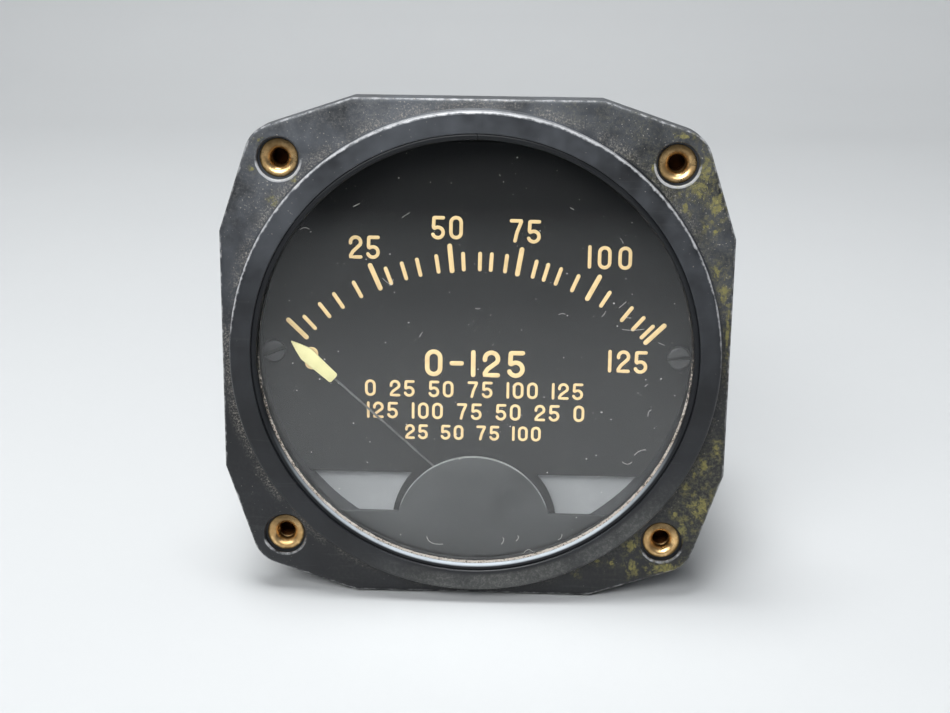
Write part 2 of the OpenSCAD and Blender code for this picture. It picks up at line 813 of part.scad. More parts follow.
module pole_shoes() {
    color([0.45, 0.45, 0.47]) difference() {
        for (s = sides)
            translate([s * (pole_reach + pole_tip) / 2, (plate_back + pole_back) / 2, -pivot_drop])
            cube([pole_reach - pole_tip, pole_len, 2 * pole_half], center = true);
        about_pivot() rod([0, 0], plate_back - over, pole_back + over, pole_bore_r);
        for (s = pole_screw_spots) rod(s, plate_back - over, plate_back + thread_depth, screw_r);
        for (s = rear_post_spots) rod(s, pole_back - thread_depth, pole_back + over, screw_r);
    }
}

module pole_screws() {
    reach = plate_t + thread_depth - over;
    color("silver") for (s = pole_screw_spots)
        front_screw(s, plate_y, narrow_head, reach);
}

module iron_core() {
    color([0.42, 0.42, 0.44]) about_pivot() rod([0, 0], core_y, core_y + core_len, core_r);
}

// Brass bar on the pole shoes, with a stem down to the core between the coils' paths
module core_bracket() {
    color([0.78, 0.66, 0.36]) about_pivot() {
        translate([-pole_reach, bracket_y, pole_bore_r]) cube([2 * pole_reach, bracket_len, bracket_h]);
        for (s = sides) translate([s > 0 ? pole_bore_r : -pole_reach, bracket_y, pole_half])
            cube([pole_reach - pole_bore_r, bracket_len, pole_bore_r - pole_half]);
        difference() {
            translate([0, bracket_y + bracket_len / 2, 0]) cylinder(d = stem_d, h = pole_bore_r);
            rod([0, 0], core_y - over, core_y + core_len + over, core_r);
        }
    }
}

module horseshoe_magnet() {
    color([0.55, 0.16, 0.14]) sheet(magnet_y, magnet_t) difference() {
        union() {
            translate([0, arch_rise]) circle(magnet_half);
            translate([-magnet_half, -magnet_drop]) square([2 * magnet_half, magnet_drop + arch_rise]);
        }
        translate([0, arch_rise]) circle(pole_reach);
        translate([-pole_reach, -2 * magnet_drop]) square([2 * pole_reach, 2 * magnet_drop + arch_rise]);
    }
}

module magnet_post() {
    color("silver") difference() {
        rod(magnet_post_spot, plate_back, magnet_back, magnet_post_d / 2);
        rod(magnet_post_spot, magnet_back - thread_depth, magnet_back + over, screw_r);
    }
}

module magnet_clamp() {
    half_w = magnet_half - clamp_t / 2;
    color([0.78, 0.66, 0.36]) sheet(magnet_back, clamp_t) translate(magnet_post_spot) difference() {
        square([2 * half_w, clamp_h], center = true);
        circle(screw_r);
    }
}

module magnet_screw() {
    reach = clamp_t + thread_depth - over;
    color("silver")
        rear_screw(magnet_post_spot, magnet_back + clamp_t, small_head, reach);
}

module rear_bridge() {
    color([0.78, 0.66, 0.36]) sheet(rear_bridge_y, bridge_t) translate([0, -pivot_drop]) difference() {
        square([2 * pole_reach, bridge_h], center = true);
        circle(jewel_d / 2);
        for (s = rear_post_spots) translate([s[0], 0]) circle(screw_r);
    }
}

module rear_bridge_posts() {
    color("silver") difference() {
        for (s = rear_post_spots) rod(s, pole_back, rear_bridge_y, pole_wall / 2);
        for (s = rear_post_spots) rod(s, pole_back - over, rear_bridge_y + over, screw_r);
    }
}

module rear_bridge_screws() {
    reach = rear_bridge_back - pole_back + thread_depth - over;
    color("silver") for (s = rear_post_spots)
        rear_screw(s, rear_bridge_back, narrow_head, reach);
}

module rear_jewel_screw() {
    color([0.75, 0.62, 0.32]) about_pivot() difference() {
        rod([0, 0], rear_jewel_y, rear_jewel_back, jewel_d / 2);
        rod([0, 0], rear_jewel_y - over, rear_jewel_y + jewel_depth, pivot_d / 2 + jewel_gap);
    }
}

module board_posts() {
    color("silver") difference() {
        for (s = board_spots) rod(s, plate_back, board_y, board_post_d / 2);
        for (s = board_spots) rod(s, board_y - thread_depth, board_y + over, screw_r);
    }
}

module terminal_board() {
    color([0.45, 0.28, 0.16]) sheet(board_y, board_t) difference() {
        translate([-board_w / 2, board_rise]) square([board_w, board_h]);
        for (s = concat(board_spots, spool_spots, solder_spots)) translate(s) circle(screw_r);
    }
}

module board_screws() {
    reach = board_t + thread_depth - over;
    color("silver") for (s = board_spots)
        rear_screw(s, board_back, small_head, reach);
}

module resistor_spools() {
    bore_r = screw_r;
    r = spool_d / 2;
    profile = [
        [bore_r, 0],
        [r, 0],
        [r, cheek_t],
        [spool_core_r, cheek_t],
        [spool_core_r, spool_len - cheek_t],
        [r, spool_len - cheek_t],
        [r, spool_len],
        [bore_r, spool_len]
    ];
    color([0.82, 0.76, 0.62]) for (s = spool_spots)
        translate([s[0], board_back, s[1]]) turned() polygon(profile);
}

module resistor_windings() {
    color([0.58, 0.34, 0.18]) for (s = spool_spots) difference() {
        rod(s, board_back + cheek_t, board_back + spool_len - cheek_t, spool_d / 2 - solder_t);
        rod(s, board_back, board_back + spool_len, spool_core_r);
    }
}

module spool_screws() {
    color("silver") for (s = spool_spots)
        rear_screw(s, board_back + spool_len, small_head, spool_len + board_t);
}

module terminal_lugs() {
    color([0.80, 0.78, 0.70]) for (s = solder_spots) {
        rod(s, board_y - solder_t, board_back, screw_r);
        sheet(board_back, solder_t) translate(s - [lug_w / 2, lug_h - lug_w / 2]) square([lug_w, lug_h]);
    }
}

// One straight stretch of a lead between two points, with a round end
module lead_run(a, b) {
    d = b - a;
    translate(a) rotate([0, acos(d[2] / norm(d)), atan2(d[1], d[0])]) cylinder(d = lead_d, h = norm(d));
    translate(b) sphere(d = lead_d + fit);
}

module leads() {
    color([0.75, 0.70, 0.60]) for (i = [0 : 2]) {
        start = [solder_spots[i][0], board_back + solder_t, solder_spots[i][1] - lug_h / 2];
        rise = start + [0, lead_d, 0];
        bend = [pin_spots[i][0], cup_y - 2 * lead_d, pin_spots[i][1]];
        lead_run(start, rise);
        lead_run(rise, bend);
        lead_run(bend, [pin_spots[i][0], cup_y - lead_d / 2, pin_spots[i][1]]);
    }
}

module connector_gasket() {
    color([0.15, 0.15, 0.15]) sheet(case_len, conn_gasket_t) difference() {
        square(conn_flange_w, center = true);
        circle(shell_bore_d / 2 + fit);
        for (c = corners) translate(conn_half * c) circle(screw_r);
    }
}

module connector_shell() {
    color([0.60, 0.60, 0.58]) difference() {
        union() {
            sheet(conn_gasket_back, conn_flange_t) square(conn_flange_w, center = true);
            rod([0, 0], conn_gasket_back, shell_back, shell_d / 2);
        }
        rod([0, 0], conn_gasket_back - over, shell_back + over, shell_bore_d / 2);
        for (c = corners) rod(conn_half * c, conn_gasket_back - over, conn_flange_back + over, screw_r);
    }
}

module connector_insulator() {
    color([0.20, 0.20, 0.20]) difference() {
        rod([0, 0], insulator_y, insulator_back, insulator_r);
        for (s = pin_spots) rod(s, insulator_y - over, insulator_back + over, pin_d / 2);
    }
}

module connector_pins() {
    color([0.80, 0.72, 0.45]) for (s = pin_spots) {
        rod(s, cup_y, insulator_back + pin_len, pin_d / 2);
    }
}

module connector_screws() {
    grip = conn_flange_t + conn_gasket_t + back_wall;
    color("silver") for (c = corners)
        rear_screw(conn_half * c, conn_flange_back, conn_head, grip, conn_slot_angle);
}

case();
panel_inserts();
snap_ring();
cover_glass();
glass_gasket();
pivot_mask();
mask_posts();
dial_plate();
dial_spacers();
dial_screws();
movement_plate();
movement_screws();
front_bridge();
front_bridge_posts();
front_bridge_screws();
front_jewel_screw();
pointer_stops();
pointer_head();
pointer_wire();
pointer_hub();
balance_arms();
balance_weights();
front_staff();
rear_staff();
outer_coil();
inner_coil();
ligament_springs();
pole_shoes();
pole_screws();
iron_core();
core_bracket();
horseshoe_magnet();
magnet_post();
magnet_clamp();
magnet_screw();
rear_bridge();
rear_bridge_posts();
rear_bridge_screws();
rear_jewel_screw();
board_posts();
terminal_board();
board_screws();
resistor_spools();
resistor_windings();
spool_screws();
terminal_lugs();
leads();
connector_gasket();
connector_shell();
connector_insulator();
connector_pins();
connector_screws();
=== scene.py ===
import json
import math
import random

import bpy
from mathutils import Matrix, Vector


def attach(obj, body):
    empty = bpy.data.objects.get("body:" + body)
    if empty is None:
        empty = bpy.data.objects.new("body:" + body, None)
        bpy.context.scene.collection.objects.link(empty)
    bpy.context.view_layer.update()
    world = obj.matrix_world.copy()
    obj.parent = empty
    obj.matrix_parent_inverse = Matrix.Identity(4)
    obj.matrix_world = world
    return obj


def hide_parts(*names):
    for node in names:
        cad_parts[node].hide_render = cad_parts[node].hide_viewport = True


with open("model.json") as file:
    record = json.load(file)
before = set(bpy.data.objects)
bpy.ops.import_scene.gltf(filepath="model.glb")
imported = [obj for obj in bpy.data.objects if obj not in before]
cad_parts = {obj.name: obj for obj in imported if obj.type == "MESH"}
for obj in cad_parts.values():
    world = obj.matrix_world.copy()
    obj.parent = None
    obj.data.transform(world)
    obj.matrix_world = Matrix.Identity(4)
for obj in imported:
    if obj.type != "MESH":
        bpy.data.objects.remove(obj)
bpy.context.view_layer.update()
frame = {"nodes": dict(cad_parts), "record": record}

MM = 0.001
nodes = frame["nodes"]

# Sizes in millimetres, as in the part's source
FLANGE_HALF = 41.15
FLANGE_T = 6.35
FLAT_HALF = 19.65
SCREW_HALF = 31.435
CORNER_R = 5.5
RING_R = 39.5
RING_FRONT = -3.0
POCKET_R = 36.05
BODY_R = 37.6
CASE_BACK = 50.0
GLASS_Y = -1.55
DIAL_Y = 6.5
PIVOT_Z = -26.5
POINTER_REST = -48
ARROW_Y = 4.52
ARROW_T = 0.3
MASK_Y = 1.7
MASK_T = 0.7
MASK_EDGE_Z = -27.3
MASK_ROUND_R = 12.95
MASK_ROUND_Z = -30.55
DISC_R = 35.5
WIRE_R = 0.6
WIRE_RING_R = 35.65
RECESS_R = 3.4
INSERT_R = 3.1
INSERT_Y = 1.0


# Modelling by hand-like steps

def only(obj):
    """Selects one object and makes it active."""
    bpy.ops.object.select_all(action="DESELECT")
    obj.select_set(True)
    bpy.context.view_layer.objects.active = obj


def edit(obj):
    only(obj)
    bpy.ops.object.mode_set(mode="EDIT")
    bpy.ops.mesh.select_mode(type="VERT")
    bpy.ops.mesh.select_all(action="SELECT")


def leave():
    bpy.ops.object.mode_set(mode="OBJECT")


def pick(obj, kind, test):
    """In edit mode, selects the edges or faces that a test chooses."""
    bpy.ops.mesh.select_all(action="DESELECT")
    bpy.ops.mesh.select_mode(type=kind)
    bpy.ops.object.mode_set(mode="OBJECT")
    items = obj.data.edges if kind == "EDGE" else obj.data.polygons
    for item in items:
        item.select = test(item)
    bpy.ops.object.mode_set(mode="EDIT")


def arc(cx, cy, r, a0, a1, steps):
    """Points of an arc, in degrees."""
    turns = [math.radians(a0 + (a1 - a0) * i / steps) for i in range(steps + 1)]
    return [(cx + r * math.cos(t), cy + r * math.sin(t)) for t in turns]


def draw_line(name, points, closed=True):
    """A chain of edges through points in millimetres, drawn by extruding one vertex."""
    bpy.ops.object.select_all(action="DESELECT")
    bpy.ops.mesh.primitive_plane_add(size=MM)
    obj = bpy.context.object
    obj.name = name
    edit(obj)
    bpy.ops.mesh.merge(type="CENTER")
    spots = [Vector(p) * MM for p in points]
    bpy.ops.transform.translate(value=spots[0])
    for a, b in zip(spots, spots[1:] + spots[:1] * closed):
        bpy.ops.mesh.extrude_region_move(TRANSFORM_OT_translate={"value": b - a})
    bpy.ops.mesh.select_all(action="SELECT")
    bpy.ops.mesh.remove_doubles(threshold=1e-7)
    leave()
    return obj


def turned(name, profile, steps):
    """A profile of (radius, depth) points, spun about the dial axis. One that starts on the axis ends there."""
    obj = draw_line(name, [(r, y, 0) for r, y in profile], closed=profile[0][0] > 0)
    edit(obj)
    bpy.ops.mesh.spin(steps=steps, angle=math.tau, center=(0, 0, 0), axis=(0, 1, 0))
    bpy.ops.mesh.select_all(action="SELECT")
    bpy.ops.mesh.remove_doubles(threshold=1e-6)
    bpy.ops.mesh.normals_make_consistent(inside=False)
    leave()
    return obj


def slab(name, points, depth, thickness):
    """A flat plate with an outline of (x, z) points, left in edit mode."""
    obj = draw_line(name, [(x, depth, z) for x, z in points])
    edit(obj)
    bpy.ops.mesh.edge_face_add()
    bpy.ops.mesh.extrude_region_move(TRANSFORM_OT_translate={"value": (0, thickness * MM, 0)})
    bpy.ops.mesh.select_all(action="SELECT")
    bpy.ops.mesh.normals_make_consistent(inside=False)
    return obj


def round_edges(obj, depths, size, segments):
    """In edit mode, bevels the edges that lie flat at one of some depths."""
    mesh = obj.data

    def flat(e):
        a, b = (mesh.vertices[i].co.y for i in e.vertices)
        return abs(a - b) < 1e-6 and min(abs(a - depth * MM) for depth in depths) < 1e-6

    pick(obj, "EDGE", flat)
    bpy.ops.mesh.bevel(offset=size * MM, segments=segments, affect="EDGES")


def copy_at(obj, spot):
    """A copy of a piece with its own mesh, at a spot in millimetres."""
    copy = obj.copy()
    copy.data = obj.data.copy()
    bpy.context.collection.objects.link(copy)
    copy.location = Vector(spot) * MM
    return copy


def at_corners(obj, name=None):
    """Four copies of a piece, one at each panel screw, joined."""
    copies = []
    for sx in (-1, 1):
        for sz in (-1, 1):
            copies.append(copy_at(obj, (sx * SCREW_HALF, 0, sz * SCREW_HALF)))
    bpy.data.objects.remove(obj)
    return join(copies, name)


def join(parts, name=None):
    bpy.ops.object.select_all(action="DESELECT")
    for p in parts:
        p.select_set(True)
    bpy.context.view_layer.objects.active = parts[0]
    bpy.ops.object.join()
    bpy.ops.object.transform_apply(location=True, rotation=True, scale=True)
    obj = bpy.context.object
    if name:
        obj.name = name
        obj.data.name = name
    return obj


def cut(obj, tool, operation):
    """Adds a second solid to a first one, or takes it away."""
    only(obj)
    modifier = obj.modifiers.new("cut", "BOOLEAN")
    modifier.operation = operation
    modifier.solver = "EXACT"
    modifier.object = tool
    bpy.ops.object.modifier_apply(modifier="cut")
    bpy.data.objects.remove(tool)


def smooth(obj, degrees=35):
    only(obj)
    bpy.ops.object.shade_smooth_by_angle(angle=math.radians(degrees))


def finish_piece(obj, body, slot, material, *replaced):
    """Gives a piece its material, its body and the nodes that it stands for."""
    obj.data.materials.clear()
    obj.data.materials.append(material)
    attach(obj, body)
    if replaced:
        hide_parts(*replaced)


# Shader helpers

def feed(tree, socket, value):
    """Sets a socket to a value, or links it from another socket."""
    if isinstance(value, bpy.types.NodeSocket):
        tree.links.new(value, socket)
    else:
        socket.default_value = value


def add(tree, kind, inputs=None, **properties):
    """A shader node with its properties and its inputs, each a value or a socket to link from."""
    n = tree.nodes.new("ShaderNode" + kind)
    for key, value in properties.items():
        setattr(n, key, value)
    for key, value in (inputs or {}).items():
        feed(tree, n.inputs[key], value)
    return n


def calc(tree, operation, a, b=0.0, clamp=False):
    return add(tree, "Math", {0: a, 1: b}, operation=operation, use_clamp=clamp).outputs[0]


def times(tree, first, *others):
    for other in others:
        first = calc(tree, "MULTIPLY", first, other)
    return first


def most(tree, first, *others):
    for other in others:
        first = calc(tree, "MAXIMUM", first, other)
    return first


def length(tree, a, b):
    return calc(tree, "SQRT", calc(tree, "ADD", times(tree, a, a), times(tree, b, b)))


def object_xyz(tree):
    return add(tree, "SeparateXYZ", {0: add(tree, "TexCoord").outputs["Object"]}).outputs


def ramp(tree, value, low, high, to_low=0.0, to_high=1.0):
    """A value spread smoothly from one range to another."""
    inputs = {"Value": value, "From Min": low, "From Max": high, "To Min": to_low, "To Max": to_high}
    return add(tree, "MapRange", inputs, interpolation_type="SMOOTHSTEP").outputs["Result"]


def blend(tree, fac, a, b):
    """Mix of two colours."""
    n = add(tree, "Mix", {"Factor": fac}, data_type="RGBA")
    feed(tree, n.inputs[6], a)
    feed(tree, n.inputs[7], b)
    return n.outputs[2]


def noise(tree, scale, detail=3.0, rough=0.55, vector=None, warp=0.0):
    vector = vector or add(tree, "TexCoord").outputs["Object"]
    inputs = {"Vector": vector, "Scale": scale, "Detail": detail, "Roughness": rough, "Distortion": warp}
    return add(tree, "TexNoise", inputs).outputs["Fac"]


def new_group(name, inputs, outputs):
    """An empty shader group with float inputs (name: value) and float outputs."""
    tree = bpy.data.node_groups.new(name, "ShaderNodeTree")
    for key, value in inputs.items():
        tree.interface.new_socket(name=key, in_out="INPUT", socket_type="NodeSocketFloat").default_value = value
    for key in outputs:
        tree.interface.new_socket(name=key, in_out="OUTPUT", socket_type="NodeSocketFloat")
    source = tree.nodes.new("NodeGroupInput")
    sink = tree.nodes.new("NodeGroupOutput")
    return tree, source.outputs, sink.inputs


def use(tree, group, **values):
    """A shared group placed in a material, with its own values."""
    n = add(tree, "Group", node_tree=group)
    for key, value in values.items():
        feed(tree, n.inputs[key.replace("_", " ")], value)
    return n.outputs


def make_mottle():
    """Broad and fine cloudiness, and a fine grain for bump."""
    tree, given, out = new_group("mottle", {"Scale": 200.0, "Grain Scale": 2500.0}, ["Cloud", "Grain"])
    broad = noise(tree, given["Scale"], 4.0, 0.6)
    fine = noise(tree, given["Grain Scale"], 2.0, 0.6)
    both = calc(tree, "ADD", times(tree, broad, 0.88), times(tree, fine, 0.12))
    tree.links.new(both, out["Cloud"])
    tree.links.new(fine, out["Grain"])
    return tree


def make_specks():
    """Sparse small specks of dust, gathered in patches."""
    tree, given, out = new_group("specks", {"Scale": 3600.0, "Amount": 0.2, "Patch Scale": 90.0}, ["Mask"])
    dots = noise(tree, given["Scale"], 1.5, 0.5)
    gathered = noise(tree, given["Patch Scale"], 3.0, 0.6)
    level = calc(tree, "SUBTRACT", 0.84, times(tree, given["Amount"], gathered))
    edge = calc(tree, "ADD", level, 0.03)
    mask = add(tree, "MapRange", {"Value": dots, "From Min": level, "From Max": edge}).outputs["Result"]
    tree.links.new(mask, out["Mask"])
    return tree


def make_scratches():
    """Long thin lines in two directions."""
    tree, given, out = new_group("scratches", {"Scale": 60.0, "Amount": 0.5}, ["Mask"])
    space = add(tree, "TexCoord").outputs["Object"]
    masks = []
    for turn in (0.5, 1.9):
        inputs = {"Vector": space, "Rotation": (0.4, turn, turn), "Scale": (1.0, 1.0, 14.0)}
        stretched = add(tree, "Mapping", inputs).outputs[0]
        lines = noise(tree, given["Scale"], 2.0, 0.5, stretched, 0.4)
        masks.append(ramp(tree, lines, 0.66, 0.72))
    tree.links.new(times(tree, most(tree, *masks), given["Amount"]), out["Mask"])
    return tree


def make_patch():
    """One on a spot in the plane of the flange, fading to none past its reach, and a wider haze."""
    inputs = {"X": 0.0, "Z": 0.0, "Reach X": 1.0, "Reach Z": 1.0}
    tree, given, out = new_group("patch", inputs, ["Mask", "Haze"])
    spot = object_xyz(tree)
    away = []
    for axis in "XZ":
        off = calc(tree, "SUBTRACT", spot[axis], given[axis])
        away.append(calc(tree, "DIVIDE", off, given["Reach " + axis]))
    distance = length(tree, *away)
    tree.links.new(calc(tree, "SUBTRACT", 1.6, distance, clamp=True), out["Mask"])
    tree.links.new(ramp(tree, distance, 3.2, 0.6), out["Haze"])
    return tree


mottle = make_mottle()
specks = make_specks()
scratches = make_scratches()
patch = make_patch()

# Smears of old paint on the flange's face: centre and half size, in millimetres
SMEARS = (
    (35.9, 30.7, 0.9, 2.4), (35.0, 27.6, 2.1, 1.3), (32.1, 35.8, 1.0, 0.35), (32.8, 24.7, 0.6, 0.9),
    (37.7, 25.0, 0.9, 2.1), (36.2, 21.7, 0.6, 0.5), (37.8, 20.9, 0.4, 0.4), (38.3, 14.1, 0.6, 1.1),
    (39.6, 10.8, 0.7, 2.0), (27.5, 30.5, 0.3, 0.8), (39.8, -15.1, 0.5, 1.0), (37.8, -17.9, 0.7, 0.9),
    (36.3, -19.4, 0.3, 0.4), (35.1, -21.8, 0.6, 0.7), (37.5, -25.4, 1.5, 2.1), (34.7, -29.2, 0.8, 1.4),
    (32.3, -35.9, 2.5, 0.9), (26.5, -32.1, 0.9, 1.0), (26.7, -36.1, 0.8, 0.9), (33.5, -26.4, 0.5, 0.5),
    (40.5, 4.7, 0.3, 3.3), (-34.4, 34.3, 0.4, 0.4), (-35.5, 29.7, 0.3, 0.4), (-28.8, 28.0, 0.3, 0.4),
    (-32.1, 24.7, 0.6, 0.6), (17.5, -37.3, 0.4, 0.5), (20.8, -35.0, 0.7, 0.4), (23.3, -35.3, 0.4, 0.4),
)


def new_material(name):
    m = bpy.data.materials.new(name)
    m.use_nodes = True
    tree = m.node_tree
    shader = tree.nodes["Principled BSDF"]
    return m, tree, shader


def set_bump(tree, shader, height, strength, distance):
    bump = add(tree, "Bump", {"Height": height, "Strength": strength, "Distance": distance})
    tree.links.new(bump.outputs[0], shader.inputs["Normal"])


def metal(name, color, dark, roughness, scale=350.0):
    """Plain metal, with tarnish in patches and fine wear."""
    m, tree, shader = new_material(name)
    cloud = use(tree, mottle, Scale=scale, Grain_Scale=scale * 9)
    clean = ramp(tree, cloud["Cloud"], 0.38, 0.66)
    line = use(tree, scratches, Scale=scale * 0.6, Amount=0.5)["Mask"]
    tree.links.new(blend(tree, clean, (*dark, 1), (*color, 1)), shader.inputs["Base Color"])
    uneven = ramp(tree, cloud["Cloud"], 0.3, 0.7, roughness + 0.14, roughness - 0.05)
    tree.links.new(calc(tree, "SUBTRACT", uneven, times(tree, line, 0.1)), shader.inputs["Roughness"])
    shader.inputs["Metallic"].default_value = 1.0
    set_bump(tree, shader, cloud["Grain"], 0.12, 0.00003)
    return m


def coating(name, color, worn, roughness, scale=300.0, dust=0.2, bump=0.15, shine=0.5):
    """Paint, moulding or rubber, with cloudy wear and a little dust."""
    m, tree, shader = new_material(name)
    cloud = use(tree, mottle, Scale=scale, Grain_Scale=scale * 8)
    rubbed = ramp(tree, cloud["Cloud"], 0.45, 0.75)
    base = blend(tree, rubbed, (*color, 1), (*worn, 1))
    dots = use(tree, specks, Amount=dust)["Mask"]
    tree.links.new(blend(tree, dots, base, (0.40, 0.38, 0.34, 1)), shader.inputs["Base Color"])
    shader.inputs["Specular IOR Level"].default_value = shine
    uneven = ramp(tree, cloud["Cloud"], 0.3, 0.7, roughness - 0.06, roughness + 0.1)
    tree.links.new(uneven, shader.inputs["Roughness"])
    set_bump(tree, shader, cloud["Grain"], bump, 0.00004)
    return m


def from_screw(tree, x, z):
    """Distance from the axis of the nearest panel screw."""
    return length(tree, *[calc(tree, "SUBTRACT", calc(tree, "ABSOLUTE", a), SCREW_HALF * MM) for a in (x, z)])


def over_screw(tree, z):
    """Height over the axis of the nearest panel screw."""
    return calc(tree, "SUBTRACT", z, times(tree, calc(tree, "SIGN", z), SCREW_HALF * MM))


def phenolic():
    """Black moulding with worn edges that carry painted highlight, a dust film with painted sheen towards the top,
    dust at the ring's root and smears of old paint on the right.
    """
    m, tree, shader = new_material("worn_black_phenolic")
    xyz = object_xyz(tree)
    x, y, z = xyz["X"], xyz["Y"], xyz["Z"]
    radius = length(tree, x, z)
    cloud = use(tree, mottle, Scale=110.0, Grain_Scale=2600.0)
    base = blend(tree, ramp(tree, cloud["Cloud"], 0.4, 0.7), (0.0065, 0.007, 0.0085, 1), (0.0125, 0.0135, 0.016, 1))
    front = ramp(tree, y, 0.0006, 0.0003)
    on_face = times(tree, front, ramp(tree, radius, 0.0397, 0.0401))

    # A smooth dust film with painted sheen, lighter towards the top, most on the upper left
    dust_and_sheen = times(tree, ramp(tree, z, -0.014, 0.034), ramp(tree, noise(tree, 55.0, 4.0, 0.65), 0.3, 0.65))
    sheen_weight = calc(tree, "ADD", times(tree, on_face, ramp(tree, x, 0.025, -0.005, 0.15, 0.4)), 0.58)
    base = blend(tree, times(tree, dust_and_sheen, sheen_weight), base, (0.090, 0.097, 0.110, 1))

    # Gritty grime, most on the upper right
    upper_right = ramp(tree, calc(tree, "ADD", z, times(tree, x, 0.8)), -0.030, 0.020, 0.10, 0.9)
    where = times(tree, ramp(tree, noise(tree, 95.0, 5.0, 0.7), 0.36, 0.62), upper_right)
    grains = ramp(tree, noise(tree, 1700.0, 6.0, 0.8), 0.43, 0.65)
    grime = times(tree, where, grains, on_face)
    earthy = blend(tree, ramp(tree, x, -0.01, 0.03), (0.17, 0.165, 0.155, 1), (0.15, 0.142, 0.095, 1))
    base = blend(tree, times(tree, grime, 0.62), base, earthy)

    # Scum low on the ring's face
    ring_face = times(tree, ramp(tree, radius, 0.0364, 0.0372), ramp(tree, y, -0.0024, -0.0028))
    low = ramp(tree, calc(tree, "SUBTRACT", times(tree, x, 0.3), z), 0.026, 0.040)
    clots = ramp(tree, noise(tree, 160.0, 5.0, 0.7), 0.20, 0.60)
    scum = times(tree, clots, ramp(tree, grains, 0.0, 1.0, 0.4, 1.0), low, ring_face)
    base = blend(tree, times(tree, scum, 0.7), base, (0.14, 0.14, 0.13, 1))

    # Worn edges, and worn rims round the inserts, with painted highlight: the rims are lighter on their lower half,
    # and the ring's edges lighter where they face the light
    from_hole = from_screw(tree, x, z)
    rim = times(
        tree, ramp(tree, from_hole, 0.0032, 0.0034), ramp(tree, from_hole, 0.00402, 0.00370),
        ramp(tree, over_screw(tree, z), 0.001, -0.002, 0.55, 1.1),
        ramp(tree, y, 0.0004, 0.0002), ramp(tree, z, -0.02, 0.02, 0.72, 1.0))
    edge = most(tree, add(tree, "Attribute", attribute_name="edge").outputs["Fac"], rim)
    chips = noise(tree, 700.0, 4.0, 0.65)
    worn = ramp(tree, calc(tree, "ADD", times(tree, edge, 0.8), times(tree, chips, 0.9)), 0.95, 1.3)
    base = blend(tree, times(tree, worn, 0.9), base, (0.47, 0.465, 0.47, 1))
    line = use(tree, scratches, Scale=90.0, Amount=0.12)["Mask"]
    base = blend(tree, line, base, (0.06, 0.06, 0.06, 1))

    # Dust at the ring's root, and loose specks
    near_root = times(
        tree, ramp(tree, radius, 0.0396, 0.0399), ramp(tree, radius, 0.0422, 0.0401),
        ramp(tree, calc(tree, "SUBTRACT", z, x), -0.03, 0.01, 0.25, 1.0))
    patchy = ramp(tree, noise(tree, 240.0, 5.0, 0.75), 0.38, 0.58)
    grit = ramp(tree, noise(tree, 3000.0, 5.0, 0.8), 0.47, 0.61)
    amount = calc(tree, "ADD", ramp(tree, z, -0.03, 0.03, 0.12, 0.22), times(tree, on_face, 0.1))
    loose = use(tree, specks, Scale=3000.0, Amount=amount, Patch_Scale=110.0)["Mask"]
    dust = most(tree, times(tree, near_root, front, patchy, grit), loose)
    base = blend(tree, times(tree, dust, 0.75), base, (0.34, 0.31, 0.27, 1))

    # Old paint
    spots = [use(tree, patch, X=sx * MM, Z=sz * MM, Reach_X=rx * MM, Reach_Z=rz * MM) for sx, sz, rx, rz in SMEARS]
    place = most(tree, *[spot["Mask"] for spot in spots])
    haze = most(tree, *[spot["Haze"] for spot in spots])
    level = calc(tree, "SUBTRACT", 0.74, times(tree, place, 0.31))
    ragged = calc(tree, "SUBTRACT", noise(tree, 640.0, 9.0, 0.82, None, 0.9), level)
    smear = times(tree, ramp(tree, ragged, -0.02, 0.09), ramp(tree, grains, 0.0, 0.5, 0.6, 1.0))
    film = times(tree, ramp(tree, noise(tree, 900.0, 6.0, 0.75), 0.48, 0.62), haze, 0.7)
    paint = times(tree, most(tree, smear, film), on_face)
    tone = blend(tree, noise(tree, 700.0, 4.0, 0.65), (0.14, 0.125, 0.035, 1), (0.33, 0.29, 0.09, 1))
    base = blend(tree, times(tree, paint, 0.85), base, tone)
    tree.links.new(base, shader.inputs["Base Color"])

    shader.inputs["IOR"].default_value = 1.54
    shader.inputs["Specular IOR Level"].default_value = 0.4
    dirt = most(tree, paint, grime, dust)
    rough = ramp(tree, cloud["Cloud"], 0.3, 0.7, 0.38, 0.48)
    rough = calc(tree, "ADD", rough, times(tree, dirt, 0.35), clamp=True)
    tree.links.new(calc(tree, "SUBTRACT", rough, times(tree, edge, 0.18)), shader.inputs["Roughness"])
    relief = calc(tree, "ADD", cloud["Grain"], times(tree, dirt, 1.2))
    set_bump(tree, shader, calc(tree, "SUBTRACT", relief, line), 0.22, 0.00006)
    return m


def over_color(material, cover):
    """Lays a second colour over a material's own, where a cover (tree, own colour) puts it."""
    tree = material.node_tree
    socket = tree.nodes["Principled BSDF"].inputs["Base Color"]
    tree.links.new(cover(tree, socket.links[0].from_socket), socket)
    return material


def hollow_painted_shade(material, low, high, end, tone=(0.004, 0.003, 0.002, 1)):
    """Painted shade in a hollow: a material's colour fades to a dark tone between two depths, up to the hollow's
    end.
    """
    def cover(tree, color):
        y = object_xyz(tree)["Y"]
        dirt = times(tree, ramp(tree, y, low * MM, high * MM), ramp(tree, y, end * MM + 0.0002, end * MM))
        return blend(tree, dirt, color, tone)

    return over_color(material, cover)


